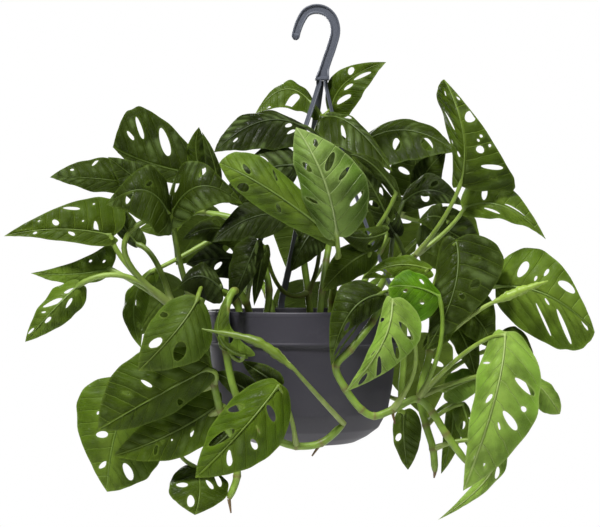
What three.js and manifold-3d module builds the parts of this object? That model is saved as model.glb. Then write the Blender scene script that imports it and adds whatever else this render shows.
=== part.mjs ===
// Monstera adansonii in a hanging nursery pot: a dark plastic pot on a three-strap hanger, potting
// soil, and thirteen leafy stems that climb out of the soil, arch over the rim and trail.
// Millimetres, +Z up. The origin is the inner saddle of the hook, where the hanger bears on its rod.

import * as THREE from 'three';
import { mergeVertices } from 'three/addons/utils/BufferGeometryUtils.js';
import Module from 'manifold-3d';

const wasm = await Module();
wasm.setup();

// ---------------------------------------------------------------- driving dimensions

const GAP = 0.35; // clear gap that touching pieces keep

// Everything that grew is set out on a full-size front elevation, as [across, down, depth]: across
// and down in millimetres from the top left corner of the drawing, depth behind (+) or before (-) the
// pot's axis. The drawing is seen from EYE, so a point keeps its place on it at any depth.
const HOOK_ON_DRAWING = { across: 315, down: 14 };
const EYE = new THREE.Vector3(-15, -1800, -249.5);

const POT = {
  x: -12, // the axis stands a little left of the hook
  rimZ: -296,
  collarRadius: 97,
  collarHeight: 32,
  wallRadius: 94,
  wall: 2.2,
  baseRadius: 52,
  baseZ: -427,
  footHeight: 3,
  facets: 24,
};

const SOIL = { topZ: -303, domeHeight: 4, holeRoom: 1 };
const DRAIN = { holes: 4, radius: 4.5, circle: 30, drill: 20, facets: 8 };

const HOOK = {
  thickness: 6,
  width: 10,
  tipWidth: 8,
  footX: 7,
  footWidth: 15,
  footThickness: 11,
  footTopZ: -58,
  footZ: -66,
};
const STRAP = { width: 7, thickness: 1.6, count: 3, firstAngle: -17, sag: 9, lugLength: 16 };

const BLADE_THICKNESS = 0.9;
const SLIVER = 0.12; // joints are tidied to this

const STEM = { radius: 3.6, sides: 5 };
const PETIOLE = { radius: 2.2, sides: 3, steps: 3 };

const COLOUR = {
  pot: 0x3a3840,
  soil: 0x4a3428,
  hanger: 0x55585f,
  leaf: 0x476b22,
};

// ---------------------------------------------------------------- solids

function finish(colour, roughness) {
  return new THREE.MeshStandardMaterial({ color: colour, roughness, metalness: 0 });
}

function signedVolume(positions, index) {
  const [a, b, c] = [new THREE.Vector3(), new THREE.Vector3(), new THREE.Vector3()];
  let volume = 0;
  for (let i = 0; i < index.length; i += 3) {
    a.fromArray(positions, 3 * index[i]);
    b.fromArray(positions, 3 * index[i + 1]);
    c.fromArray(positions, 3 * index[i + 2]);
    volume += a.dot(b.cross(c)) / 6;
  }
  return volume;
}

// A closed geometry as a solid, with its faces turned outward.
function solid(geometry) {
  const bare = geometry.clone();
  bare.deleteAttribute('normal');
  bare.deleteAttribute('uv');
  const merged = mergeVertices(bare, 1e-4);
  const positions = new Float32Array(merged.attributes.position.array);
  const index = new Uint32Array(merged.index.array);
  if (signedVolume(positions, index) < 0) {
    for (let i = 0; i < index.length; i += 3) {
      [index[i], index[i + 1]] = [index[i + 1], index[i]];
    }
  }
  const mesh = new wasm.Mesh({ numProp: 3, vertProperties: positions, triVerts: index });
  return new wasm.Manifold(mesh);
}

function geometryOf(body) {
  const mesh = body.getMesh();
  const geometry = new THREE.BufferGeometry();
  geometry.setAttribute('position', new THREE.BufferAttribute(mesh.vertProperties, 3));
  geometry.setIndex(new THREE.BufferAttribute(mesh.triVerts, 1));
  geometry.computeVertexNormals();
  return geometry;
}

function part(name, body, material) {
  const mesh = new THREE.Mesh(geometryOf(body), material);
  mesh.name = name;
  return mesh;
}

function polygon(radius, sides) {
  const shape = new THREE.Shape();
  for (let i = 0; i < sides; i += 1) {
    const angle = (2 * Math.PI * (i + 0.5)) / sides;
    const [x, y] = [radius * Math.cos(angle), radius * Math.sin(angle)];
    if (i === 0) shape.moveTo(x, y);
    else shape.lineTo(x, y);
  }
  shape.closePath();
  return shape;
}

function tube(curve, radius, sides, steps) {
  const section = polygon(radius, sides);
  return solid(new THREE.ExtrudeGeometry(section, { extrudePath: curve, steps, curveSegments: 1 }));
}

function turned(profile, facets) {
  const points = profile.map(([radius, z]) => new THREE.Vector2(radius, z));
  const geometry = new THREE.LatheGeometry(points, facets);
  geometry.rotateX(Math.PI / 2);
  return solid(geometry);
}

// ---------------------------------------------------------------- the drawing

function at([across, down, depth]) {
  const x = across - HOOK_ON_DRAWING.across;
  const z = HOOK_ON_DRAWING.down - down;
  const scale = (depth - EYE.y) / -EYE.y;
  return new THREE.Vector3(EYE.x + (x - EYE.x) * scale, depth, EYE.z + (z - EYE.z) * scale);
}

// Where a point in space stands on the drawing.
function onDrawing(point) {
  const scale = -EYE.y / (point.y - EYE.y);
  const x = EYE.x + (point.x - EYE.x) * scale;
  const z = EYE.z + (point.z - EYE.z) * scale;
  return [x + HOOK_ON_DRAWING.across, HOOK_ON_DRAWING.down - z];
}

function offset([across, down, depth], [right, lower, back]) {
  return [across + right, down + lower, depth + back];
}

// ---------------------------------------------------------------- leaves

// The edge of half a blade, from the stalk to the tip: share of the midrib's length, share of the
// half's full reach. The blade is widest at a third and its base rounds back past the stalk.
const EDGE = [
  [-0.03, 0.3],
  [0.04, 0.68],
  [0.18, 0.95],
  [0.38, 1],
  [0.58, 0.86],
  [0.77, 0.55],
  [0.91, 0.24],
];
const RIB_STEPS = 3; // straight runs of a blade's midrib
const STEEP_RISE = 19; // a midrib that rises further off its chord takes one more run
const WIDE_SLIT = 7; // a wider slit has five corners, a narrower one four
const NEAR_RIB = 0.07; // slits keep clear of the midrib and of the edge
const NEAR_EDGE = 0.87;
const WAVES = 2.5; // ripples along one edge
const NEXT_PHASE = 1.7; // so that no two leaves of a stem ripple alike
const STALK_JOIN = 0.04; // share of the midrib where the stalk meets it

// Slits of an ordinary blade: [rib share, reach, rib share, reach, width], reach < 0 on the left.
const THREE_SLITS = [
  [0.34, 0.26, 0.46, 0.64, 8],
  [0.24, -0.24, 0.38, -0.72, 4.5],
  [0.5, -0.2, 0.6, -0.52, 5],
];
const ONE_SLIT = [[0.38, 0.26, 0.5, 0.66, 6]];
const TWO_SLITS = [
  [0.36, 0.24, 0.48, 0.64, 5],
  [0.28, -0.24, 0.42, -0.66, 5],
];

// One leaf of a stem: `from` is the point of the stem that its stalk leaves, `via` a point half way
// along the stalk; stalk, midrib and halves are given on the drawing. `right` and `left` reach from
// the midrib to the edge of each half, as seen on the upper face with the tip up. `marks` are slits
// whose ends are given on the drawing, `slits` are given on the blade itself. A `taper` above 1
// brings the widest place nearer the stalk, below 1 nearer the tip; `leftTaper` is for the left half.
function leaf(from, via, base, mid, tip, right, left, options = {}) {
  const { slits = [], marks = [], cup = -4, wave = 1.2, taper = 1, leftTaper = taper } = options;
  return { from, via, base, mid, tip, right, left, slits, marks, cup, wave, taper, leftTaper };
}

class Blade {
  constructor(entry, phase) {
    this.start = at(entry.base);
    this.end = at(entry.tip);
    const middle = at(entry.mid);
    this.control = middle.clone().multiplyScalar(2);
    this.control.addScaledVector(this.start, -0.5).addScaledVector(this.end, -0.5);
    this.right = at(offset(entry.mid, entry.right)).sub(middle);
    this.left = at(offset(entry.mid, entry.left)).sub(middle);
    this.cup = entry.cup;
    this.wave = entry.wave;
    this.phase = phase;
    this.rightEdge = EDGE.map(([p, q]) => [p < 0 ? p : p ** entry.taper, q]);
    this.leftEdge = EDGE.map(([p, q]) => [p < 0 ? p : p ** entry.leftTaper, q]);
    this.length = this.start.distanceTo(this.end);
    this.slits = entry.slits.concat(entry.marks.map((mark) => this.fromDrawing(mark)));
  }

  rib(p) {
    if (p < 0) return this.start.clone().addScaledVector(this.along(0), p);
    const point = this.start.clone().multiplyScalar((1 - p) * (1 - p));
    point.addScaledVector(this.control, 2 * p * (1 - p));
    return point.addScaledVector(this.end, p * p);
  }

  along(p) {
    const share = Math.max(p, 0);
    const direction = this.control.clone().sub(this.start).multiplyScalar(2 * (1 - share));
    return direction.addScaledVector(this.end.clone().sub(this.control), 2 * share);
  }

  normal(p, q) {
    const direction = this.along(p);
    const right = new THREE.Vector3().crossVectors(this.right, direction).normalize();
    const left = new THREE.Vector3().crossVectors(direction, this.left).normalize();
    const lean = Math.min(1, 3 * Math.abs(q));
    const middle = right.clone().add(left).normalize();
    return middle.lerp(q >= 0 ? right : left, lean).normalize();
  }

  // The point at share p of the midrib and reach q of a half, lifted off the middle surface.
  point(p, q, lift = 0) {
    const side = q >= 0 ? this.right : this.left;
    const ripple = Math.sin(2 * Math.PI * WAVES * p + this.phase + (q >= 0 ? 0 : 2));
    const bend = (this.cup + this.wave * ripple) * q * q;
    const point = this.rib(p).addScaledVector(side, Math.abs(q));
    return point.addScaledVector(this.normal(p, q), bend + lift);
  }

  // The share and reach whose point stands at a place of the drawing.
  locate(across, down) {
    let [p, q] = [0.5, 0.01];
    const step = 0.01;
    for (let turn = 0; turn < 8; turn += 1) {
      const here = onDrawing(this.point(p, q));
      const further = onDrawing(this.point(p + step, q));
      const wider = onDrawing(this.point(p, q + step));
      const [a, c] = [(further[0] - here[0]) / step, (further[1] - here[1]) / step];
      const [b, d] = [(wider[0] - here[0]) / step, (wider[1] - here[1]) / step];
      const [x, y] = [across - here[0], down - here[1]];
      const size = a * d - b * c;
      p = THREE.MathUtils.clamp(p + (d * x - b * y) / size, 0, 1);
      q = THREE.MathUtils.clamp(q + (a * y - c * x) / size, -1, 1);
      if (turn === 0) q = Math.abs(q) < step ? step : q;
    }
    return [p, q];
  }

  // How far the edge of a half lies from the midrib at share p of it.
  reachAt(p, side) {
    const edge = side > 0 ? this.rightEdge : this.leftEdge;
    for (let i = 1; i < edge.length; i += 1) {
      const [[p1, q1], [p2, q2]] = [edge[i - 1], edge[i]];
      if (p <= p2) return q1 + ((q2 - q1) * Math.max(0, p - p1)) / (p2 - p1);
    }
    return edge[edge.length - 1][1];
  }

  fromDrawing([across1, down1, across2, down2, width]) {
    return [...this.locate(across1, down1), ...this.locate(across2, down2), width];
  }

  // A slit as a closed outline of few corners, kept clear of the midrib and the edge.
  slitOutline([p1, q1, p2, q2, width]) {
    const side = q1 + q2 >= 0 ? 1 : -1;
    const reach = (side > 0 ? this.right : this.left).length();
    const axis = new THREE.Vector2((q2 - q1) * reach, (p2 - p1) * this.length);
    const across = new THREE.Vector2(-axis.y, axis.x).setLength(width / 2);
    const lens = [[0, 0], [0.5, -1], [1, 0], [0.5, 1]];
    const oval = [[0, 0], [0.35, -1], [0.9, -0.7], [0.9, 0.7], [0.35, 1]];
    const corners = width > WIDE_SLIT ? oval : lens;
    return corners.map(([share, lean]) => {
      const p = p1 + (p2 - p1) * share + (across.y * lean) / this.length;
      const q = q1 + (q2 - q1) * share + (across.x * lean) / reach;
      const [clearP, room] = [THREE.MathUtils.clamp(p, 0.04, 0.92), NEAR_EDGE * this.reachAt(p, side)];
      return [clearP, side * THREE.MathUtils.clamp(side * q, NEAR_RIB, room)];
    });
  }

  // The blade as a closed thin solid: both faces share one triangulation.
  solid() {
    const keys = new Map();
    const spots = [];
    const spot = ([p, q]) => {
      const key = `${p.toFixed(5)} ${q.toFixed(5)}`;
      if (!keys.has(key)) {
        keys.set(key, spots.length);
        spots.push([p, q]);
      }
      return keys.get(key);
    };
    const rise = this.rib(0.5).distanceTo(this.start.clone().lerp(this.end, 0.5));
    const steps = rise > STEEP_RISE ? RIB_STEPS + 1 : RIB_STEPS;
    const rib = Array.from({ length: steps + 1 }, (_, i) => [i / steps, 0]);
    const triangles = [];
    for (const side of [1, -1]) {
      const half = side > 0 ? this.rightEdge : this.leftEdge;
      const edge = half.map(([p, q]) => [p, side * q]).reverse();
      const outline = [...rib, ...edge];
      const slits = this.slits.filter(([, q1, , q2]) => side * (q1 + q2) > 0);
      const rings = slits.map((slit) => this.slitOutline(slit));
      const flat = ([p, q]) => new THREE.Vector2(q * this.right.length(), p * this.length);
      const faces = THREE.ShapeUtils.triangulateShape(outline.map(flat), rings.map((r) => r.map(flat)));
      const all = [outline, ...rings].flat();
      for (const face of faces) {
        const [a, b, c] = face.map((i) => flat(all[i]));
        const turn = b.clone().sub(a).cross(c.clone().sub(a));
        const order = turn > 0 ? face : [face[0], face[2], face[1]];
        triangles.push(order.map((i) => spot(all[i])));
      }
    }
    const count = spots.length;
    const positions = [];
    for (const lift of [BLADE_THICKNESS / 2, -BLADE_THICKNESS / 2]) {
      for (const [p, q] of spots) positions.push(...this.point(p, q, lift).toArray());
    }
    const index = [];
    const directed = new Set(triangles.flatMap(([a, b, c]) => [`${a} ${b}`, `${b} ${c}`, `${c} ${a}`]));
    for (const [a, b, c] of triangles) {
      index.push(a, b, c, a + count, c + count, b + count);
      for (const [from, to] of [[a, b], [b, c], [c, a]]) {
        if (directed.has(`${to} ${from}`)) continue;
        index.push(from + count, to + count, to, from + count, to, from);
      }
    }
    const geometry = new THREE.BufferGeometry();
    geometry.setAttribute('position', new THREE.Float32BufferAttribute(positions, 3));
    geometry.setIndex(index);
    return solid(geometry);
  }
}

// ---------------------------------------------------------------- leafy stems

const LARGE_HALF = 36; // a narrower rear leaf has no slit yet

// A leaf that hangs away from the front: tip at `reach` from the base, bulging outward, with its
// upper face to the back.
function rearLeaf(from, via, base, reach, half) {
  const length = Math.hypot(reach[0], reach[1]);
  const [across, down] = [(half * reach[1]) / length, (-half * reach[0]) / length];
  const mid = offset(base, [reach[0] / 2, reach[1] / 2 - 8, reach[2] / 2 + 14]);
  const tip = offset(base, reach);
  const slits = half < LARGE_HALF ? [] : ONE_SLIT;
  return leaf(from, via, base, mid, tip, [across, down, -4], [-across, -down, -4], { slits });
}

// Each stem runs through `path` from its foot in the soil; `roots` are the tips of aerial roots and
// the points of the path that they leave, `rolls` are young leaves that are still rolled up.
const STEMS = {
  stem_crown: {
    path: [[312, 336, 12], [308, 292, 8], [303, 250, 10], [305, 200, 14], [313, 150, 12], [321, 118, 4]],
    leaves: [
      leaf(5, [326, 114, 8], [331, 112, 5], [346, 82, -5], [386, 62, -15], [16, 14, -8], [-10, -12, 4], {
        marks: [
          [350, 75, 352, 67, 6],
          [354, 80, 371, 72, 4],
          [344, 90, 353, 84, 3.5],
          [337, 104, 351, 95, 5],
        ],
      }),
      leaf(5, [318, 111, 3], [313, 105, 4], [285, 89, 5], [255, 114, -2], [1, -11, 10], [11, 22, -8], {
        taper: 1.2,
        marks: [[284, 114, 299, 95, 7], [267, 113, 270, 106, 4]],
      }),
      leaf(
        4, [316, 136, -12], [306, 128, -34], [262, 121, -44], [214, 152, -52],
        [-10, -12, 14], [1, 28, -12],
        {
          taper: 0.6,
          leftTaper: 0.9,
          marks: [[233, 142, 238, 138, 3], [285, 127, 292, 124, 4], [287, 134, 295, 130, 3]],
        },
      ),
      leaf(
        5, [322, 116, -4], [323, 117, -22], [354, 126, -42], [393, 172, -60],
        [-12, 22, -16], [5, -7, 6],
        { slits: TWO_SLITS },
      ),
      leaf(4, [330, 150, 34], [362, 142, 48], [408, 130, 40], [456, 152, 24], [-4, 32, -26], [2, -14, 20], {
        leftTaper: 0.6,
        marks: [[396, 138, 397, 150, 8], [427, 138, 427, 150, 12]],
      }),
      leaf(
        3, [306, 182, -26], [297, 165, -50], [258, 172, -58], [222, 198, -58],
        [-2, -23, 8], [-9, 38, -4],
        { slits: TWO_SLITS },
      ),
      leaf(
        2, [298, 232, -36], [285, 215, -60], [250, 218, -74], [212, 242, -84],
        [-5, -19, 10], [0, 22, -8],
      ),
      leaf(
        1, [318, 262, -8], [320, 226, -24], [306, 240, -36], [290, 272, -36],
        [-9, -9, 6], [14, 16, 4],
      ),
      leaf(1, [282, 290, -30], [265, 245, -72], [260, 269, -74], [254, 306, -74], [-9, -2, 4], [9, 2, 4]),
    ],
  },
  stem_left_high: {
    path: [[262, 336, 20], [269, 290, 24], [258, 250, 32], [240, 222, 42], [204, 212, 52]],
    leaves: [
      leaf(4, [202, 196, 58], [196, 174, 60], [150, 163, 44], [113, 147, 30], [-4, -56, 14], [0, 12, -8], {
        taper: 0.62,
        leftTaper: 0.9,
        marks: [[127, 131, 134, 140, 6], [136, 117, 143, 139, 6], [161, 128, 168, 156, 10]],
      }),
      leaf(4, [166, 204, 40], [138, 184, 20], [92, 178, -2], [50, 177, -14], [4, -23, 16], [-2, 11, -8], {
        marks: [[70, 170, 74, 170, 3], [92, 166, 98, 160, 3]],
      }),
      leaf(4, [202, 190, 56], [200, 168, 52], [196, 148, 42], [199, 127, 36], [11, -2, 4], [-11, 2, 4]),
      leaf(2, [256, 262, 16], [258, 262, 0], [222, 258, -30], [186, 264, -44], [-2, -20, 12], [0, 20, -8], {
        slits: THREE_SLITS,
      }),
      leaf(4, [172, 206, 46], [162, 198, 30], [138, 180, 12], [108, 157, 4], [10, -16, 8], [-12, 16, -6], {
        slits: TWO_SLITS,
      }),
      leaf(3, [234, 238, 12], [240, 238, -8], [212, 228, -24], [182, 240, -30], [0, -14, 8], [0, 14, -4], {
        slits: TWO_SLITS,
      }),
      leaf(3, [186, 254, 38], [152, 270, 20], [134, 304, 12], [141, 348, 2], [-14, 4, 6], [16, 0, 6], {
        marks: [[131, 300, 140, 306, 4], [138, 323, 142, 331, 4]],
      }),
      leaf(4, [192, 214, 42], [180, 222, 32], [159, 226, 24], [138, 230, 16], [-1, -10, 6], [2, 9, -4]),
      leaf(4, [208, 202, 46], [214, 196, 40], [216, 172, 32], [202, 132, 28], [7, -3, 4], [-12, 1, 4]),
    ],
  },
  stem_left: {
    path: [[240, 336, -8], [236, 300, -14], [216, 290, -26], [190, 296, -40], [172, 306, -50]],
    leaves: [
      leaf(4, [130, 268, -54], [114, 236, -56], [60, 229, -70], [4, 236, -75], [21, -34, 10], [3, 12, -6], {
        taper: 1.25,
        leftTaper: 1.2,
        marks: [
          [63, 208, 80, 209, 3.5],
          [53, 220, 58, 225, 4.5],
          [17, 232, 30, 231, 3.5],
          [68, 232, 75, 235, 4],
          [95, 221, 98, 233, 4],
        ],
      }),
      leaf(4, [138, 284, -46], [112, 268, -40], [74, 274, -52], [31, 273, -60], [6, -31, 14], [0, 9, -6], {
        taper: 3.6,
        leftTaper: 0.9,
        marks: [[84, 257, 89, 250, 6], [95, 252, 101, 248, 4]],
      }),
      leaf(4, [124, 276, -66], [80, 284, -64], [53, 310, -78], [25, 342, -72], [-13, -10, 8], [15, 14, 8], {
        marks: [
          [64, 293, 76, 289, 5],
          [43, 307, 63, 299, 6],
          [45, 323, 51, 317, 3.5],
          [66, 308, 72, 298, 3.5],
        ],
      }),
      leaf(
        4, [124, 248, -75], [170, 216, -72], [144, 190, -98], [106, 205, -90],
        [4, -28, 10], [2, 34, -12],
        { marks: [[127, 204, 131, 190, 5], [146, 186, 152, 182, 4]] },
      ),
      leaf(4, [156, 262, -44], [139, 246, -38], [122, 222, -44], [113, 195, -40], [14, -3, 4], [-13, 2, 4]),
      leaf(
        3, [178, 254, -60], [170, 216, -62], [200, 186, -90], [243, 204, -78],
        [2, 24, -10], [-6, -29, 12],
        {
          slits: [[0.14, -0.36, 0.24, -0.74, 7]],
          marks: [[199, 177, 206, 168, 4.5], [206, 209, 214, 205, 5]],
        },
      ),
    ],
  },
  stem_left_low: {
    path: [
      [246, 336, -28],
      [234, 300, -36],
      [212, 290, -56],
      [200, 306, -88],
      [203, 345, -104],
      [214, 385, -104],
      [220, 410, -96],
      [232, 442, -82],
      [237, 476, -76],
      [229, 499, -78],
    ],
    leaves: [
      leaf(
        2, [204, 284, -94], [198, 298, -124], [176, 331, -146], [138, 371, -138],
        [-32, -6, 12], [24, 32, 8],
        { marks: [[149, 344, 162, 342, 12], [176, 361, 183, 342, 13], [160, 313, 167, 317, 6]] },
      ),
      leaf(
        2, [218, 282, -86], [222, 290, -106], [200, 276, -112], [178, 288, -108],
        [0, -16, 8], [0, 24, 6],
      ),
      leaf(
        5, [172, 396, -84], [135, 386, -58], [115, 434, -68], [107, 492, -62],
        [-43, -19, 10], [42, 40, 4],
        { marks: [[96, 435, 108, 434, 6], [99, 468, 107, 462, 4], [123, 464, 133, 479, 11]] },
      ),
      leaf(
        5, [216, 374, -112], [211, 367, -114], [150, 400, -112], [98, 430, -100],
        [-29, -37, -2], [10, 22, 10],
        {
          taper: 0.85,
          marks: [[141, 380, 152, 387, 4], [122, 392, 130, 394, 3.5], [178, 399, 183, 406, 5]],
        },
      ),
      leaf(
        6, [224, 406, -92], [222, 402, -90], [170, 434, -92], [113, 456, -82],
        [-14, -24, 4], [8, 26, -4],
        { marks: [[155, 455, 157, 445, 4], [191, 437, 193, 428, 3.5]] },
      ),
      leaf(
        6, [180, 444, -64], [197, 466, -56], [200, 490, -84], [195, 515, -96],
        [-31, 0, -4], [30, 1, 10],
        {
          taper: 0.8,
          marks: [
            [176, 485, 188, 485, 6],
            [190, 495, 191, 507, 7],
            [206, 480, 213, 489, 5],
            [215, 473, 220, 487, 6],
          ],
        },
      ),
      leaf(
        6, [228, 418, -84], [236, 424, -84], [222, 440, -90], [204, 452, -90],
        [-8, -10, 4], [8, 10, 4],
      ),
    ],
    roots: [[9, [231, 513, -78]]],
  },
  stem_front: {
    path: [
      [254, 336, -46],
      [246, 302, -68],
      [234, 291, -98],
      [226, 310, -118],
      [226, 350, -122],
      [238, 400, -118],
      [258, 430, -112],
      [276, 440, -108],
      [296, 446, -106],
      [321, 443, -104],
      [344, 424, -104],
    ],
    leaves: [
      leaf(
        8, [290, 414, -132], [280, 383, -150], [244, 428, -172], [195, 478, -152],
        [-33, -8, 10], [22, 36, 12],
        {
          marks: [
            [228, 410, 244, 407, 10],
            [209, 446, 234, 429, 11],
            [267, 405, 275, 421, 8],
            [251, 439, 257, 449, 6],
            [229, 450, 230, 466, 6],
          ],
        },
      ),
      leaf(
        4, [238, 360, -122], [247, 357, -126], [219, 336, -138], [227, 294, -134],
        [16, -6, 4], [-6, 4, 8],
        { slits: THREE_SLITS },
      ),
      leaf(1, [252, 272, -90], [258, 240, -92], [246, 268, -98], [230, 306, -92], [-18, -8, 6], [11, 6, 4]),
      leaf(
        7, [284, 412, -116], [281, 386, -126], [262, 374, -122], [242, 361, -112],
        [6, -10, 2], [-6, 10, 2],
      ),
      leaf(
        5, [254, 402, -110], [258, 398, -106], [237, 384, -104], [214, 372, -98],
        [4, -13, 2], [-6, 12, 2],
      ),
    ],
    rolls: [
      { from: 10, via: [318, 396, -132], path: [[294, 369, -150], [258, 342, -150], [202, 329, -140]] },
    ],
    roots: [[9, [312, 456, -102]]],
  },
  stem_centre: {
    path: [[330, 336, -34], [332, 300, -48], [336, 272, -76], [338, 256, -104]],
    leaves: [
      leaf(
        3, [337, 246, -124], [334, 237, -136], [272, 191, -164], [219, 163, -150],
        [-2, -31, 16], [-10, 21, 8],
        {
          taper: 0.6,
          marks: [
            [243, 164, 250, 174, 8],
            [237, 187, 249, 188, 9],
            [273, 168, 277, 181, 4],
            [277, 203, 280, 213, 4.5],
          ],
        },
      ),
      leaf(
        3, [338, 247, -132], [337, 237, -150], [324, 180, -178], [296, 127, -158],
        [40, -14, 14], [-30, -2, 14],
        {
          leftTaper: 0.85,
          marks: [
            [334, 152, 326, 171, 6.5],
            [349, 167, 339, 180, 4.5],
            [364, 191, 350, 206, 5],
            [315, 139, 316, 147, 4.5],
            [303, 162, 311, 172, 7.5],
            [305, 197, 318, 203, 4],
          ],
        },
      ),
      leaf(
        2, [376, 236, -62], [389, 222, -66], [374, 190, -76], [352, 156, -74],
        [11, -7, 6], [-12, 10, 4],
        { slits: TWO_SLITS },
      ),
      leaf(2, [374, 232, -80], [398, 196, -84], [374, 166, -92], [350, 154, -88], [6, -7, 6], [-4, 8, 4]),
      leaf(
        2, [372, 258, -90], [388, 232, -88], [364, 238, -104], [338, 232, -100],
        [0, -12, 6], [0, 14, -4],
        { slits: TWO_SLITS },
      ),
      leaf(
        2, [362, 262, -94], [372, 250, -96], [346, 266, -106], [322, 292, -102],
        [-12, -14, 4], [12, 14, 4],
      ),
    ],
  },
  stem_right_front: {
    path: [
      [362, 336, -34],
      [372, 302, -60],
      [384, 296, -92],
      [372, 322, -118],
      [350, 350, -126],
      [336, 366, -126],
      [345, 388, -120],
      [362, 410, -114],
      [374, 416, -112],
      [392, 410, -108],
      [418, 399, -98],
      [432, 412, -98],
      [446, 434, -100],
      [467, 463, -100],
    ],
    leaves: [
      leaf(
        9, [416, 356, -132], [392, 298, -152], [382, 344, -166], [345, 392, -150],
        [-14, 2, 6], [34, 8, 12],
        {
          marks: [
            [377, 321, 384, 320, 4.5],
            [399, 322, 413, 340, 6],
            [392, 337, 398, 359, 4.5],
            [379, 356, 378, 380, 4],
            [367, 373, 359, 385, 4],
          ],
        },
      ),
      leaf(
        2, [386, 292, -110], [383, 294, -124], [350, 313, -140], [331, 366, -134],
        [-16, -20, 8], [12, 14, 6],
        { marks: [[320, 331, 327, 327, 6], [334, 356, 358, 325, 4], [344, 331, 350, 322, 4]] },
      ),
      leaf(
        2, [408, 285, -104], [431, 270, -110], [396, 265, -112], [362, 279, -106],
        [-2, -11, 6], [2, 14, -2],
      ),
      leaf(
        10, [440, 346, -112], [441, 297, -122], [416, 287, -132], [388, 287, -128],
        [-8, -20, 8], [-16, 34, 6],
        { marks: [[403, 291, 408, 290, 4], [420, 278, 423, 284, 4], [420, 300, 424, 304, 4]] },
      ),
      leaf(9, [398, 410, -96], [404, 410, -86], [404, 440, -84], [408, 470, -76], [-12, 2, 4], [19, 0, 4], {
        slits: ONE_SLIT,
      }),
    ],
    roots: [[9, [395, 424, -110]]],
  },
  stem_right: {
    path: [
      [352, 336, -6],
      [378, 300, -30],
      [408, 288, -58],
      [430, 306, -68],
      [430, 350, -76],
      [420, 396, -80],
      [426, 425, -82],
      [433, 449, -82],
      [435, 472, -80],
    ],
    leaves: [
      leaf(
        3, [440, 268, -78], [456, 239, -86], [454, 290, -104], [426, 350, -112],
        [-23, -2, 8], [47, -8, 9],
        { marks: [[473, 258, 480, 259, 5], [459, 292, 464, 299, 4], [470, 287, 480, 282, 11]] },
      ),
      leaf(
        3, [462, 292, -60], [495, 287, -58], [547, 295, -78], [595, 332, -72],
        [19, 57, -4], [2, -43, 8],
        {
          taper: 0.85,
          leftTaper: 0.8,
          marks: [
            [518, 277, 528, 262, 8.5],
            [544, 276, 549, 269, 3],
            [558, 283, 575, 291, 9],
            [536, 303, 551, 336, 3],
            [557, 309, 571, 344, 6],
            [582, 315, 587, 330, 7],
          ],
        },
      ),
      leaf(
        5, [470, 349, -104], [505, 331, -116], [495, 398, -150], [463, 491, -132],
        [-26, 6, 10], [44, 16, 12],
        {
          leftTaper: 0.72,
          marks: [
            [515, 378, 535, 395, 8],
            [503, 411, 517, 430, 7],
            [521, 407, 526, 411, 5],
            [486, 403, 492, 394, 5],
          ],
        },
      ),
      leaf(
        5, [488, 374, -72], [529, 376, -66], [547, 394, -74], [560, 414, -70],
        [-9, 12, -4], [9, -7, 6],
        { taper: 0.6 },
      ),
      leaf(
        5, [456, 366, -66], [486, 352, -58], [512, 342, -64], [534, 356, -58],
        [0, 14, -2], [3, -17, 6],
        { taper: 0.7 },
      ),
      leaf(
        7, [470, 440, -88], [500, 446, -92], [485, 481, -104], [438, 520, -108],
        [-9, -6, 4], [11, 6, 4],
        { taper: 1.45, slits: TWO_SLITS },
      ),
      leaf(5, [432, 390, -70], [444, 392, -66], [466, 382, -70], [490, 376, -66], [3, 17, -2], [-3, -15, 4]),
      leaf(6, [446, 410, -70], [462, 402, -64], [470, 428, -68], [478, 458, -64], [-14, 4, 4], [10, 4, 4], {
        slits: TWO_SLITS,
      }),
      leaf(6, [442, 408, -60], [454, 400, -52], [451, 438, -54], [441, 474, -50], [-9, -2, 2], [11, 2, 2]),
      leaf(
        4, [448, 322, -72], [462, 308, -74], [480, 322, -84], [494, 350, -80],
        [-12, 16, -2], [15, -20, 4],
      ),
      leaf(
        4, [446, 332, -72], [454, 322, -68], [467, 346, -74], [476, 378, -70],
        [-13, 5, 4], [14, -4, 4],
      ),
      leaf(
        4, [446, 330, -90], [452, 318, -94], [435, 334, -100], [422, 350, -101],
        [-6, -6, 6], [10, 12, 4],
      ),
    ],
    rolls: [{ from: 4, via: [468, 318, -92], path: [[494, 302, -99], [520, 291, -103], [548, 281, -105]] }],
    roots: [[8, [434, 478, -80]]],
  },
  stem_right_high: {
    path: [[366, 336, 14], [374, 300, 8], [390, 272, 0], [406, 262, -30], [417, 254, -58]],
    leaves: [
      leaf(
        4, [445, 216, -82], [460, 186, -92], [463, 134, -104], [444, 79, -84],
        [56, 8, 14], [-21, -5, 20],
        {
          taper: 3,
          leftTaper: 0.35,
          marks: [
            [466, 121, 474, 113, 9],
            [476, 150, 484, 149, 7.5],
            [481, 166, 503, 168, 5],
            [444, 111, 455, 130, 3],
            [457, 151, 460, 157, 3],
          ],
        },
      ),
      leaf(
        4, [446, 231, -58], [462, 209, -62], [503, 206, -78], [546, 239, -72],
        [4, 14, -6], [3, -33, 12],
        {
          leftTaper: 1.6,
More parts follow.
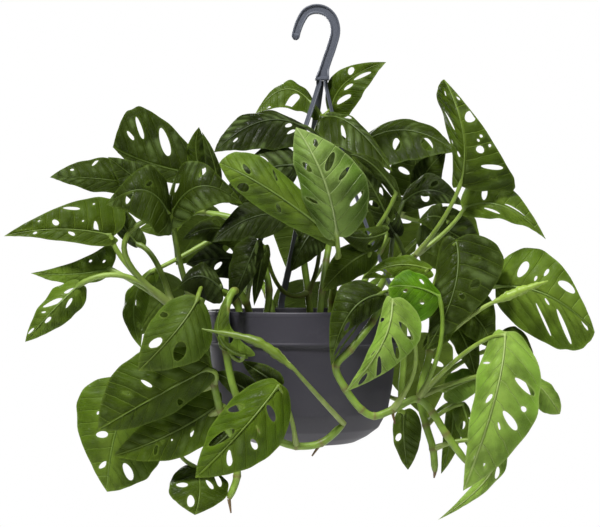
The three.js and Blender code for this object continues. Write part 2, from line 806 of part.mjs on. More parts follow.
          marks: [[484, 200, 485, 188, 6], [505, 204, 530, 222, 4], [484, 208, 500, 214, 2.5]],
        },
      ),
      leaf(3, [430, 240, -42], [449, 222, -40], [434, 216, -52], [418, 222, -48], [2, -14, 6], [0, 15, -4]),
      leaf(
        2, [394, 232, -24], [402, 204, -24], [430, 190, -40], [464, 206, -36],
        [2, 15, -4], [3, -19, 6],
        { slits: THREE_SLITS },
      ),
      leaf(
        3, [402, 248, -38], [396, 236, -34], [384, 214, -44], [376, 190, -40],
        [14, -4, 4], [-13, 4, 4],
        { slits: THREE_SLITS },
      ),
    ],
  },
  stem_back_right: {
    path: [[348, 336, 44], [360, 292, 52], [380, 250, 58], [400, 215, 66]],
    leaves: [
      leaf(
        3, [408, 205, 70], [414, 192, 76], [415, 158, 86], [408, 126, 82],
        [23, -4, 8], [-25, 6, -6],
        { slits: TWO_SLITS },
      ),
      leaf(
        3, [414, 220, 70], [424, 222, 74], [454, 234, 88], [486, 258, 82],
        [-14, 24, -8], [14, -20, 10],
        { slits: THREE_SLITS },
      ),
      leaf(3, [410, 200, 58], [418, 192, 52], [427, 171, 46], [446, 151, 40], [14, 9, -4], [-12, -8, 4]),
    ],
  },
  stem_rear_left: {
    path: [
      [276, 336, 52],
      [268, 296, 66],
      [256, 280, 96],
      [240, 300, 128],
      [236, 350, 136],
      [240, 400, 132],
    ],
    leaves: [
      rearLeaf(2, [238, 240, 110], [222, 215, 120], [-46, 50, 30], 34),
      rearLeaf(3, [208, 288, 140], [184, 285, 140], [-46, 50, 16], 32),
      rearLeaf(4, [222, 345, 150], [206, 345, 158], [-24, 80, 8], 36),
      rearLeaf(5, [250, 392, 146], [268, 362, 152], [10, 68, 14], 34),
    ],
  },
  stem_rear: {
    path: [[318, 336, 58], [322, 292, 72], [326, 262, 90], [330, 240, 112]],
    leaves: [
      rearLeaf(3, [326, 216, 126], [318, 196, 136], [-30, 76, 34], 38),
      rearLeaf(3, [350, 222, 126], [372, 205, 132], [36, 70, 32], 36),
      rearLeaf(2, [320, 270, 118], [312, 282, 146], [-10, 86, 22], 36),
      rearLeaf(3, [328, 220, 106], [326, 196, 92], [8, -66, 28], 32),
    ],
  },
  stem_rear_right: {
    path: [
      [352, 336, 50],
      [362, 296, 66],
      [382, 280, 92],
      [400, 300, 118],
      [404, 350, 126],
      [400, 400, 122],
    ],
    leaves: [
      rearLeaf(2, [410, 246, 110], [430, 232, 116], [50, 40, 26], 34),
      rearLeaf(3, [430, 300, 130], [446, 292, 134], [34, 34, 8], 28),
      rearLeaf(4, [412, 344, 140], [412, 336, 150], [16, 84, 14], 36),
      rearLeaf(5, [380, 390, 142], [356, 362, 150], [-18, 66, 12], 34),
    ],
  },
};

// A rolled young leaf: a tapered spindle through its path, thickest a third of the way along.
const ROLL = { radii: [1.8, 3.6, 4.6, 4.4, 3.4, 2.2, 0.8], sides: 6 };
const ROOT = { radii: [2, 1.6, 1], sides: 5 };

function spindle(curve, radii, sides) {
  const frames = curve.computeFrenetFrames(radii.length - 1);
  const positions = [];
  const index = [];
  radii.forEach((radius, ring) => {
    const centre = curve.getPointAt(ring / (radii.length - 1));
    for (let i = 0; i < sides; i += 1) {
      const angle = (2 * Math.PI * i) / sides;
      const spoke = frames.normals[ring].clone().multiplyScalar(radius * Math.cos(angle));
      spoke.addScaledVector(frames.binormals[ring], radius * Math.sin(angle));
      positions.push(...centre.clone().add(spoke).toArray());
    }
  });
  const last = (radii.length - 1) * sides;
  for (let ring = 0; ring < radii.length - 1; ring += 1) {
    for (let i = 0; i < sides; i += 1) {
      const [a, b] = [ring * sides + i, ring * sides + ((i + 1) % sides)];
      index.push(a, b, b + sides, a, b + sides, a + sides);
    }
  }
  for (let i = 1; i < sides - 1; i += 1) {
    index.push(0, i + 1, i, last, last + i, last + i + 1);
  }
  const geometry = new THREE.BufferGeometry();
  geometry.setAttribute('position', new THREE.Float32BufferAttribute(positions, 3));
  geometry.setIndex(index);
  return solid(geometry);
}

function bent(points) {
  return new THREE.CatmullRomCurve3(points.map(at));
}

function stemTube(path, clearance = 0) {
  return tube(bent(path), STEM.radius + clearance, STEM.sides, Math.round(1.2 * path.length) + 1);
}

function stalk(path, from, via, end) {
  const start = at(path[from]);
  const control = at(via).multiplyScalar(2).addScaledVector(start, -0.5).addScaledVector(end, -0.5);
  const curve = new THREE.QuadraticBezierCurve3(start, control, end);
  return tube(curve, PETIOLE.radius, PETIOLE.sides, PETIOLE.steps);
}

// The separate solids of one stem: the stem, then each leaf's stalk and blade, then rolled leaves
// and roots.
function stemPieces({ path, leaves, rolls = [], roots = [] }) {
  const pieces = [stemTube(path)];
  leaves.forEach((entry, i) => {
    const blade = new Blade(entry, NEXT_PHASE * i);
    pieces.push(stalk(path, entry.from, entry.via, blade.rib(STALK_JOIN)), blade.solid());
  });
  for (const roll of rolls) {
    pieces.push(stalk(path, roll.from, roll.via, at(roll.path[0])));
    pieces.push(spindle(bent(roll.path), ROLL.radii, ROLL.sides));
  }
  for (const [from, tip] of roots) {
    pieces.push(spindle(bent([path[from], tip]), ROOT.radii, ROOT.sides));
  }
  return pieces;
}

// The pieces joined in one solid, with the slivers along the joints merged.
function fused(pieces) {
  return pieces.reduce((body, piece) => body.add(piece)).asOriginal().simplify(SLIVER);
}

// ---------------------------------------------------------------- pot and soil

// Inner face of the wall from the rim down, as [radius, z].
function potInside() {
  const { rimZ, collarRadius, wallRadius, baseRadius, baseZ, footHeight, wall } = POT;
  return [
    [collarRadius - 2 * wall, rimZ],
    [wallRadius - 5 - wall, -373],
    [wallRadius - 11 - wall, -396],
    [wallRadius - 18 - wall, -410],
    [baseRadius - wall, baseZ + footHeight + wall],
  ];
}

function potBody() {
  const { rimZ, collarRadius, collarHeight, wallRadius, baseRadius, baseZ, footHeight } = POT;
  const profile = [
    [0, baseZ + footHeight],
    [baseRadius - 10, baseZ + footHeight],
    [baseRadius - 9, baseZ],
    [baseRadius, baseZ],
    [wallRadius - 30, -421],
    [wallRadius - 18.5, -412.5],
    [wallRadius - 9.5, -396],
    [wallRadius - 5, -373],
    [wallRadius - 0.6, rimZ - collarHeight - 2],
    [collarRadius - 0.4, rimZ - collarHeight],
    [collarRadius, rimZ - collarHeight + 2],
    [collarRadius, rimZ - 1.5],
    [collarRadius - 1.5, rimZ],
    ...potInside(),
    [0, baseZ + footHeight + POT.wall],
  ];
  let body = turned(profile, POT.facets);
  for (let i = 0; i < DRAIN.holes; i += 1) {
    const drill = new THREE.CylinderGeometry(DRAIN.radius, DRAIN.radius, DRAIN.drill, DRAIN.facets);
    drill.rotateX(Math.PI / 2);
    const angle = (2 * Math.PI * i) / DRAIN.holes;
    drill.translate(DRAIN.circle * Math.cos(angle), DRAIN.circle * Math.sin(angle), baseZ);
    body = body.subtract(solid(drill));
  }
  return body.translate([POT.x, 0, 0]);
}

// The soil fills the pot to just below its rim and has a plain hole for every stem, a little wider
// and deeper than the stem.
function soilBody() {
  const [[rimRadius, rimZ], [lowRadius, lowZ]] = potInside();
  const edgeZ = SOIL.topZ - 2;
  const edgeRadius = THREE.MathUtils.mapLinear(edgeZ, rimZ, lowZ, rimRadius, lowRadius);
  const side = potInside().slice(1).map(([radius, z]) => [radius - GAP, z + GAP]);
  const [, bottomZ] = side[side.length - 1];
  const profile = [
    [0, SOIL.topZ + SOIL.domeHeight],
    [0.5 * edgeRadius, SOIL.topZ + 0.75 * SOIL.domeHeight],
    [0.9 * edgeRadius, SOIL.topZ],
    [edgeRadius - GAP, edgeZ],
    ...side,
    [0, bottomZ],
  ];
  let body = turned(profile, POT.facets).translate([POT.x, 0, 0]);
  for (const { path } of Object.values(STEMS)) {
    const deeper = bent(path).getTangent(0).multiplyScalar(-SOIL.holeRoom);
    body = body.subtract(stemTube(path, 2 * GAP).translate(deeper.toArray()));
  }
  return body;
}

// ---------------------------------------------------------------- hanger

// A band of given width along a line of [x, y] points, as a flat outline.
function band(points, widthAt) {
  const sides = [[], []];
  points.forEach(([x, y], i) => {
    const [x0, y0] = points[Math.max(i - 1, 0)];
    const [x1, y1] = points[Math.min(i + 1, points.length - 1)];
    const length = Math.hypot(x1 - x0, y1 - y0);
    const half = widthAt(i / (points.length - 1)) / 2;
    const [nx, ny] = [(-(y1 - y0) / length) * half, ((x1 - x0) / length) * half];
    sides[0].push(new THREE.Vector2(x + nx, y + ny));
    sides[1].push(new THREE.Vector2(x - nx, y - ny));
  });
  return new THREE.Shape([...sides[0], ...sides[1].reverse()]);
}

// A flat outline drawn in X and Z, as thick as given about the plane of the drawing.
function slab(shape, thickness) {
  const options = { depth: thickness, bevelEnabled: false, curveSegments: 1 };
  const geometry = new THREE.ExtrudeGeometry(shape, options);
  geometry.translate(0, 0, -thickness / 2);
  geometry.rotateX(Math.PI / 2);
  return geometry;
}

function hookBody() {
  const line = [
    [-20, -26],
    [-18.2, -17],
    [-14.2, -6.5],
    [-8.5, 1.8],
    [0, HOOK.width / 2],
    [10, 3],
    [17.5, -4.5],
    [20.5, -17],
    [17, -32],
    [11.8, -47],
    [8.2, HOOK.footTopZ],
  ];
  const curve = new THREE.SplineCurve(line.map(([x, z]) => new THREE.Vector2(x, z)));
  const points = curve.getPoints(18).map((point) => point.toArray());
  const width = (share) => HOOK.tipWidth + (HOOK.width - HOOK.tipWidth) * Math.min(1, 2.5 * share);
  const half = HOOK.footWidth / 2;
  const { footX } = HOOK;
  const foot = new THREE.Shape([
    new THREE.Vector2(footX - half + 4, HOOK.footTopZ + 5),
    new THREE.Vector2(footX - half, HOOK.footZ + 3.5),
    new THREE.Vector2(footX - half + 2, HOOK.footZ),
    new THREE.Vector2(footX + half - 2, HOOK.footZ),
    new THREE.Vector2(footX + half, HOOK.footZ + 3.5),
    new THREE.Vector2(footX + half - 1, HOOK.footTopZ + 5),
  ]);
  return solid(slab(band(points, width), HOOK.thickness)).add(solid(slab(foot, HOOK.footThickness)));
}

// One strap in the upright plane from the foot of the hook to its place on the collar. It passes
// outside the collar and its toe turns in under the collar's lower edge.
function strapBody(number) {
  const angle = THREE.MathUtils.degToRad(STRAP.firstAngle + (360 / STRAP.count) * number);
  const rimX = POT.x + POT.collarRadius * Math.cos(angle) - HOOK.footX;
  const rimY = POT.collarRadius * Math.sin(angle);
  const heading = Math.atan2(rimY, rimX);
  const reach = Math.hypot(rimX, rimY) + 2.4;
  const top = HOOK.footZ - GAP;
  const lowZ = POT.rimZ - POT.collarHeight - 2.6;
  const fall = new THREE.QuadraticBezierCurve(
    new THREE.Vector2(4, top - 5),
    new THREE.Vector2(reach / 2 - STRAP.sag, (top + POT.rimZ) / 2 - STRAP.sag),
    new THREE.Vector2(reach, POT.rimZ + 6),
  );
  const points = [[4, top], ...fall.getPoints(6).map((point) => point.toArray())];
  points.push([reach, POT.rimZ - STRAP.lugLength], [reach, lowZ], [reach - 3.6, lowZ - 1.2]);
  const strap = slab(band(points, () => STRAP.thickness), STRAP.width);
  return solid(strap.rotateZ(heading).translate(HOOK.footX, 0, 0));
}

// ---------------------------------------------------------------- assembly

const plant = new THREE.Group();
plant.add(part('pot', potBody(), finish(COLOUR.pot, 0.55)));
plant.add(part('soil', soilBody(), finish(COLOUR.soil, 0.95)));
plant.add(part('hook', hookBody(), finish(COLOUR.hanger, 0.45)));
for (let i = 0; i < STRAP.count; i += 1) {
  plant.add(part(`strap_${i + 1}`, strapBody(i), finish(COLOUR.hanger, 0.45)));
}
for (const [name, stem] of Object.entries(STEMS)) {
  plant.add(part(name, fused(stemPieces(stem)), finish(COLOUR.leaf, 0.5)));
}

export default plant;
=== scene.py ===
"""A monstera adansonii trailing from a hanging nursery pot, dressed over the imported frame."""

from __future__ import annotations

import logging
import math
from dataclasses import dataclass, field
from enum import Enum

import bmesh
import bpy
import numpy as np
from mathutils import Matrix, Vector
from mathutils.geometry import delaunay_2d_cdt

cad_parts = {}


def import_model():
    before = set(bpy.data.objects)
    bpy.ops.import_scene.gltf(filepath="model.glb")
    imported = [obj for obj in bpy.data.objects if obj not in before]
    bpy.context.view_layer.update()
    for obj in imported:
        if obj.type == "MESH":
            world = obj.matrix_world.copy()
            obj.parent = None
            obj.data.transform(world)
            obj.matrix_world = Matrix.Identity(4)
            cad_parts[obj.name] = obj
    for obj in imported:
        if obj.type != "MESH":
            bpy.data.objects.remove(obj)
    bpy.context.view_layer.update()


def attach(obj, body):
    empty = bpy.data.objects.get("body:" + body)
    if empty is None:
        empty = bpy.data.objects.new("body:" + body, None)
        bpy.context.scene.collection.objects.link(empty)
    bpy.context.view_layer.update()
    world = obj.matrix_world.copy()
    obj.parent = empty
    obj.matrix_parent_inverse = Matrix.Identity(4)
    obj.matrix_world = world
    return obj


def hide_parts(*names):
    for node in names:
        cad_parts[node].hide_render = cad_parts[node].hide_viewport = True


LOG = logging.getLogger("hanging_monstera")
MM = 0.001

RGB = tuple[int, int, int]
Spot = tuple[float, float, float]
Slit = tuple[float, float, float, float, float]
Band = tuple[float, ...]
Colour = tuple[float, float, float, float]
Array = np.ndarray
Socket = bpy.types.NodeSocket
Node = bpy.types.Node
Tree = bpy.types.NodeTree
Mesh = bpy.types.Mesh
Piece = bpy.types.Object
Material = bpy.types.Material

# The drawing that places every leaf: a spot is (across, down, depth) in millimetres, seen from the eye.
HOOK_ACROSS = 315.0
HOOK_DOWN = 14.0
EYE = (-15.0, -1800.0, -249.5)

# The side veins of a blade: how many each half has, how far they lean to the tip, and how they arch.
VEIN_PAIRS = 8.0
VEIN_SWEEP = 0.22
VEIN_ARCH = 1.15


def linear(colour: RGB) -> Array:
    """Turns a screen colour from 0 to 255 into scene-linear values with an alpha of one."""
    shares = [value / 255 for value in colour]
    return np.array([s / 12.92 if s <= 0.04045 else ((s + 0.055) / 1.055) ** 2.4 for s in shares] + [1.0])


def at(spot: Spot) -> Array:
    """Places a spot of the drawing in space, in metres."""
    x, z = spot[0] - HOOK_ACROSS, HOOK_DOWN - spot[1]
    scale = (spot[2] - EYE[1]) / -EYE[1]
    return MM * np.array([EYE[0] + (x - EYE[0]) * scale, spot[2], EYE[2] + (z - EYE[2]) * scale])


def on_drawing(point: Array) -> Array:
    """Gives the across and down of a point in space, in millimetres."""
    x, y, z = point / MM
    scale = -EYE[1] / (y - EYE[1])
    return np.array([EYE[0] + (x - EYE[0]) * scale + HOOK_ACROSS, HOOK_DOWN - EYE[2] - (z - EYE[2]) * scale])


def shifted(spot: Spot, by: Spot) -> Spot:
    """Moves a spot of the drawing."""
    return (spot[0] + by[0], spot[1] + by[1], spot[2] + by[2])


def unit(vectors: Array) -> Array:
    """Scales vectors to a length of one."""
    return vectors / np.linalg.norm(vectors, axis=-1, keepdims=True)


# ---- finishes


@dataclass(frozen=True)
class LeafTone:
    """The colours of one leaf: its blade near the edge and beside the midrib, its veins and its stalk. Beside
    the midrib it is paler, partly its own colour and partly painted sheen.
    """

    blade: RGB
    centre: RGB
    rib: RGB
    stalk: RGB


class Tone(Enum):
    """The leaf colours of the plant, from old and shaded to young and lit."""

    DEEP = LeafTone((28, 37, 4), (26, 35, 4), (54, 70, 18), (84, 104, 36))
    DARK = LeafTone((38, 51, 5), (36, 48, 5), (82, 102, 32), (116, 140, 48))
    OLIVE = LeafTone((60, 80, 20), (60, 78, 22), (106, 126, 50), (128, 150, 58))
    MID = LeafTone((54, 73, 8), (55, 72, 11), (104, 126, 44), (134, 160, 62))
    FRESH = LeafTone((72, 96, 18), (84, 106, 32), (114, 140, 56), (142, 168, 72))
    LIGHT = LeafTone((100, 134, 44), (118, 148, 62), (158, 180, 102), (138, 164, 64))
    PALE = LeafTone((60, 88, 16), (100, 124, 60), (150, 170, 104), (142, 168, 72))
    VIVID = LeafTone((64, 112, 4), (76, 118, 8), (126, 164, 56), (122, 154, 44))
    YOUNG = LeafTone((60, 84, 8), (68, 90, 14), (112, 136, 46), (126, 150, 46))


class NodeSheet:
    """A node tree with short calls to fill it."""

    def __init__(self, tree: Tree, prefix: str = "ShaderNode") -> None:
        """Takes the tree to fill, and the prefix that most of its node types have."""
        self.tree, self.prefix = tree, prefix

    def node(self, kind: str, inputs: dict | None = None, **settings: object) -> Node:
        """Adds a node.

        Args:
            kind: Its type, which may lack the prefix.
            inputs: Value or socket by the name or number of an input.
            **settings: Properties to set on it first.

        Returns:
            The new node.
        """
        made = self.tree.nodes.new(kind if "Node" in kind else self.prefix + kind)
        for key, value in settings.items():
            setattr(made, key, value)
        for title, value in (inputs or {}).items():
            self.feed(value, made.inputs[title])
        return made

    def feed(self, value: object, target: Socket) -> None:
        """Links a socket, or sets a plain value, on a target socket."""
        if isinstance(value, Socket):
            self.tree.links.new(value, target)
        else:
            target.default_value = value

    def take(self, **kinds: str) -> None:
        """Adds the tree's inputs, given as the type of each by its name."""
        for title, kind in kinds.items():
            self.tree.interface.new_socket(title, in_out="INPUT", socket_type="NodeSocket" + kind)
        self.entry = self.tree.nodes.new("NodeGroupInput").outputs

    def deliver(self, kind: str, **values: Socket) -> Tree:
        """Adds the tree's outputs.

        Args:
            kind: Type of them all.
            **values: Socket by the name of the output.

        Returns:
            The tree.
        """
        for title in values:
            self.tree.interface.new_socket(title, in_out="OUTPUT", socket_type="NodeSocket" + kind)
        leaving = self.tree.nodes.new("NodeGroupOutput")
        for title, value in values.items():
            self.feed(value, leaving.inputs[title])
        return self.tree

    def calc(self, operation: str, first: object, second: object = 0.0, **settings: object) -> Socket:
        """Adds a maths node of an operation on two values or sockets."""
        return self.node("ShaderNodeMath", {0: first, 1: second}, operation=operation, **settings).outputs[0]

    def plus(self, first: object, second: object, **settings: object) -> Socket:
        """Adds two values."""
        return self.calc("ADD", first, second, **settings)

    def minus(self, first: object, second: object) -> Socket:
        """Takes the second value from the first."""
        return self.calc("SUBTRACT", first, second)

    def times(self, first: object, second: object, **settings: object) -> Socket:
        """Multiplies two values."""
        return self.calc("MULTIPLY", first, second, **settings)

    def band(self, value: object, low: float, high: float, start: float = 0.0, end: float = 1.0) -> Socket:
        """Runs smoothly from a start, where the value is low, to an end, where it is high."""
        inputs = dict(enumerate((value, low, high, start, end)))
        return self.node("MapRange", inputs, interpolation_type="SMOOTHSTEP").outputs[0]

    def mix(self, share: object, first: object, second: object, blend: str = "MIX") -> Socket:
        """Mixes a share of the second colour in the first, in a blend mode."""
        inputs = {"Factor": share, 6: first, 7: second}
        return self.node("Mix", inputs, data_type="RGBA", blend_type=blend).outputs[2]

    def noise(self, place: Socket, scale: object, detail: float = 3.0) -> Socket:
        """Adds a noise of a scale in bumps a metre."""
        return self.node("TexNoise", {"Vector": place, "Scale": scale, "Detail": detail}).outputs["Fac"]

    def cells(self, place: Socket, scale: object, feature: str = "F1") -> Socket:
        """Adds the distances in a pattern of cells."""
        made = self.node("TexVoronoi", feature=feature)
        self.feed(place, made.inputs["Vector"])
        self.feed(scale, made.inputs["Scale"])
        return made.outputs["Distance"]

    def attribute(self, name: str, output: str = "Color") -> Socket:
        """Gives the socket of a mesh attribute."""
        return self.node("Attribute", attribute_name=name).outputs[output]


def group_sheet(name: str, **inputs: str) -> NodeSheet:
    """Starts a shader node group with inputs, given as the type of each by its name."""
    sheet = NodeSheet(bpy.data.node_groups.new(name, "ShaderNodeTree"))
    sheet.take(**inputs)
    return sheet


@dataclass(frozen=True)
class VeinPattern:
    """The veins of a blade. A band holds two values, and what a mask is at both."""

    mottle_scale: float = 70.0
    wobble_scale: float = 60.0
    wobble: float = 0.035
    lateral: Band = (0.44, 0.5)
    lateral_fade: Band = (0.75, 1.0, 1.0, 0.0)
    minors: float = 3.0
    minor: Band = (0.4, 0.5, 0.0, 0.45)
    net: Band = (0.0, 0.12, 1.0, 0.0)
    net_share: float = 0.6
    midrib: Band = (0.012, 0.05, 1.0, 0.0)
    # the panels place the painted sheen, strongest midway between two side veins
    panel: Band = (0.08, 0.4, 1.0, 0.2)
    heights: tuple[float, ...] = (1.1, -0.8, -0.3, -0.8)

    def group(self) -> Tree:
        """Builds the pattern from a blade's UV map, as masks and a height."""
        floats = dict.fromkeys(("Pairs", "Sweep", "Cells"), "Float")
        sheet = group_sheet("leaf_veins", Blade="Vector", Place="Vector", **floats)
        place, pairs = sheet.entry["Place"], sheet.entry["Pairs"]
        split = sheet.node("SeparateXYZ", {0: sheet.entry["Blade"]}).outputs

        def off_centre(value: Socket) -> Socket:
            """Gives how far a value lies from a half."""
            return sheet.calc("ABSOLUTE", sheet.minus(value, 0.5))

        reach = sheet.times(off_centre(split[1]), 2.0)
        mottle = sheet.noise(place, self.mottle_scale, detail=4.0)
        wobble = sheet.times(sheet.minus(sheet.noise(place, self.wobble_scale, detail=1.0), 0.5), self.wobble)
        swept = sheet.times(sheet.calc("POWER", reach, VEIN_ARCH), sheet.entry["Sweep"])
        run = sheet.plus(sheet.minus(split[0], swept), wobble)
        offset = off_centre(sheet.calc("FRACT", sheet.times(run, pairs)))
        lateral = sheet.times(sheet.band(offset, *self.lateral), sheet.band(reach, *self.lateral_fade))
        between = off_centre(sheet.calc("FRACT", sheet.times(run, sheet.times(pairs, self.minors))))
        net = sheet.band(sheet.cells(place, sheet.entry["Cells"], "DISTANCE_TO_EDGE"), *self.net)
        network = sheet.calc("MAXIMUM", sheet.band(between, *self.minor), sheet.times(net, self.net_share))
        midrib = sheet.band(reach, *self.midrib)
        parts = [sheet.times(m, h) for m, h in zip((mottle, lateral, network, midrib), self.heights)]
        relief = sheet.plus(sheet.plus(parts[0], parts[1]), sheet.plus(parts[2], parts[3]))
        return sheet.deliver(
            "Float", Midrib=midrib, Laterals=lateral, Network=network, Mottle=mottle,
            Panels=sheet.band(offset, *self.panel), Relief=relief,
        )


@dataclass(frozen=True)
class MouldedGrain:
    """The grain and scuffs of a moulded plastic."""

    broad_scale: float = 26.0
    fine_scale: float = 240.0
    broad: Band = (0.45, 0.72)
    fine: Band = (0.42, 0.7)
    speck: Band = (0.5, 0.75, 0.0, 0.35)
    fine_height: float = 0.5

    def group(self) -> Tree:
        """Builds the grain as a mask and a height."""
        sheet = group_sheet("moulded_grain", Place="Vector", Grain="Float", Dust="Float")
        place = sheet.entry["Place"]
        grain = sheet.noise(place, sheet.entry["Grain"], 2.0)
        broad = sheet.noise(place, self.broad_scale, detail=5.0)
        fine = sheet.noise(place, self.fine_scale, detail=4.0)
        scuff = sheet.times(sheet.band(broad, *self.broad), sheet.band(fine, *self.fine))
        marks = sheet.plus(scuff, sheet.band(grain, *self.speck))
        worn = sheet.times(marks, sheet.entry["Dust"], use_clamp=True)
        relief = sheet.plus(grain, sheet.times(fine, self.fine_height))
        return sheet.deliver("Float", Worn=worn, Relief=relief)


@dataclass(frozen=True)
class SoilCrumbs:
    """The crumbs and fibres of soil and bark."""

    fine_scale: float = 900.0
    fibre_scale: float = 160.0
    fine: Band = (0.35, 0.75)
    fibre: Band = (0.5, 0.8, 0.0, 0.4)
    cell_height: float = -0.7

    def group(self) -> Tree:
        """Builds the crumbs as a mask and a height."""
        sheet = group_sheet("soil_crumbs", Place="Vector", Crumbs="Float")
        place = sheet.entry["Place"]
        cells = sheet.cells(place, sheet.entry["Crumbs"])
        fine = sheet.noise(place, self.fine_scale, detail=4.0)
        fibre = sheet.band(sheet.noise(place, self.fibre_scale), *self.fibre)
        light = sheet.plus(sheet.times(sheet.band(fine, *self.fine), cells), fibre, use_clamp=True)
        relief = sheet.plus(sheet.times(cells, self.cell_height), fine)
        return sheet.deliver("Float", Light=light, Relief=relief)


class Coat(NodeSheet):
    """One material with a Principled BSDF."""

    def __init__(self, name: str) -> None:
        """Starts the material of a name with an empty tree."""
        self.material = bpy.data.materials.new(name)
        self.material.use_nodes = True
        self.material.node_tree.nodes.clear()
        super().__init__(self.material.node_tree)
        self.place = self.node("TexCoord").outputs["Object"]

    def effect(self, group: Tree, **values: object) -> dict[str, Socket]:
        """Places a shared effect, given its inputs by name, and gives its outputs."""
        made = self.node("Group", node_tree=group)
        for title, value in {"Place": self.place, **values}.items():
            self.feed(value, made.inputs[title])
        return made.outputs

    def paint(self, colour: object, roughness: object, *relief: object, specular: float = 0.5) -> Material:
        """Joins the looks to the shader.

        Args:
            colour: Base colour.
            roughness: Roughness.
            *relief: Height of the surface, share of it and its depth in metres, or nothing.
            specular: Specular level.

        Returns:
            The material.
        """
        inputs = {"Base Color": colour, "Roughness": roughness, "Specular IOR Level": specular}
        if relief:
            bump = self.node("Bump", dict(zip(("Height", "Strength", "Distance"), relief)))
            inputs["Normal"] = bump.outputs["Normal"]
        shader = self.node("BsdfPrincipled", inputs)
        self.node("OutputMaterial", {"Surface": shader.outputs["BSDF"]})
        return self.material


@dataclass(frozen=True)
class BladeFinish:
    """The leathery faces of the blades, with painted shade, light and highlight, and a painted grey-green
    sheen between the veins.

    A relief is its share and its depth in metres, and a gloss is how far the roughness runs.
    """

    name: str = "leathery_blade"
    roughness: float = 0.36
    gloss: Band = (-0.05, 0.07)
    relief: Band = (0.7, 0.0016)
    specular: float = 0.1
    cells_per_metre: float = 420.0
    painted_highlight_patches_per_metre: float = 34.0
    painted_sheens_per_metre: float = 44.0
    # painted shade, painted light and painted highlight: factors that multiply the blade's colour in noise
    # blotches
    shaded: Colour = (0.7, 0.7, 0.6, 1.0)
    lit: Colour = (1.15, 1.1, 1.0, 1.0)
    painted_highlight: Colour = (1.6, 1.58, 1.5, 1.0)
    painted_highlight_share: float = 0.7
    # painted sheen: its grey-green colour, how much dark tints take of it, and the noise spots it lies in
    painted_sheen: RGB = (102, 122, 66)
    mottle: Band = (0.35, 0.68)
    painted_highlight_patch: Band = (0.38, 0.66)
    painted_sheen_by_darkness: Band = (0.02, 0.16, 0.5, 0.1)
    painted_sheen_patch: Band = (0.48, 0.68)
    network_share: float = 0.14
    lateral_share: float = 0.55
    midrib_share: float = 0.75
    rim_share: float = 0.5
    under_share: float = 0.45
    under_dullness: float = 0.2

    def material(self) -> Material:
        """Makes the material of the blades."""
        coat = Coat(self.name)
        blade = coat.node("UVMap", uv_map="blade").outputs[0]
        sizes = {"Pairs": VEIN_PAIRS, "Sweep": VEIN_SWEEP, "Cells": self.cells_per_metre}
        veins = coat.effect(VeinPattern().group(), Blade=blade, **sizes)
        tint, rib, under = coat.attribute("tint"), coat.attribute("rib_tint"), coat.attribute("under", "Fac")
        mottle = coat.band(veins["Mottle"], *self.mottle)
        painted_highlight_patches = coat.band(coat.noise(coat.place, self.painted_highlight_patches_per_metre, detail=2.0), *self.painted_highlight_patch)
        # painted shade and painted light: the mottle darkens some blotches of the colour and lightens others
        shade = coat.mix(mottle, self.shaded, self.lit)
        # painted highlight: lighter noise spots lift the colour further
        shade = coat.mix(painted_highlight_patches, shade, coat.mix(self.painted_highlight_share, shade, self.painted_highlight))
        colour = coat.mix(1.0, tint, shade, "MULTIPLY")
        # painted sheen: a grey-green colour mixed in by the panels between the veins, in noise spots, most on
        # dark tints
        value = coat.node("RGBToBW", {"Color": tint}).outputs["Val"]
        painted_sheen_spread = coat.band(coat.noise(coat.place, self.painted_sheens_per_metre, detail=4.0), *self.painted_sheen_patch)
        painted_sheen = coat.times(coat.times(coat.band(value, *self.painted_sheen_by_darkness), painted_sheen_spread), veins["Panels"])
        colour = coat.mix(painted_sheen, colour, linear(self.painted_sheen))
        for mask, share in (
            (veins["Network"], self.network_share),
            (veins["Laterals"], self.lateral_share),
            (veins["Midrib"], self.midrib_share),
            (coat.attribute("rim", "Fac"), self.rim_share),
            (under, self.under_share),
        ):
            colour = coat.mix(coat.times(mask, share), colour, rib)
        gloss = coat.band(mottle, 0.0, 1.0, *(self.roughness + change for change in self.gloss))
        roughness = coat.plus(gloss, coat.times(under, self.under_dullness))
        return coat.paint(colour, roughness, veins["Relief"], *self.relief, specular=self.specular)


@dataclass(frozen=True)
class StalkFinish:
    """The skin of stems, stalks and rolled leaves."""

    name: str = "green_stalk"
    gloss: Band = (0.3, 0.8, 0.39, 0.55)
    relief: Band = (0.35, 0.0004)
    mottle_scale: float = 120.0
    mottle: Band = (0.35, 0.7)
    dark: Colour = (0.6, 0.62, 0.5, 1.0)
    dark_share: float = 0.6
    streaks_per_metre: float = 900.0

    def material(self) -> Material:
        """Makes the material of stems and stalks."""
        coat = Coat(self.name)
        mottle = coat.noise(coat.place, self.mottle_scale, detail=4.0)
        shade = coat.mix(coat.band(mottle, *self.mottle), self.dark, (1.0, 1.0, 1.0, 1.0))
        colour = coat.mix(self.dark_share, coat.attribute("tint"), shade, "MULTIPLY")
        streaks = coat.noise(coat.place, self.streaks_per_metre, detail=2.0)
        return coat.paint(colour, coat.band(mottle, *self.gloss), streaks, *self.relief)


@dataclass(frozen=True)
class PlasticFinish:
    """A moulded plastic: its colour, that of its scuffs, its grain and the share that is scuffed."""

    name: str
    colour: RGB
    worn: RGB
    roughness: float
    grain_per_metre: float
    dust: float
    dulling: float = 0.2
    dull_at: float = 0.6
    relief: Band = (0.25, 0.0003)

    def material(self, grain: Tree) -> Material:
        """Makes the material with the shared grain."""
        coat = Coat(self.name)
        skin = coat.effect(grain, Grain=self.grain_per_metre, Dust=self.dust)
        colour = coat.mix(skin["Worn"], linear(self.colour), linear(self.worn))
        gloss = coat.band(skin["Worn"], 0.0, self.dull_at, self.roughness, self.roughness + self.dulling)
        return coat.paint(colour, gloss, skin["Relief"], *self.relief)


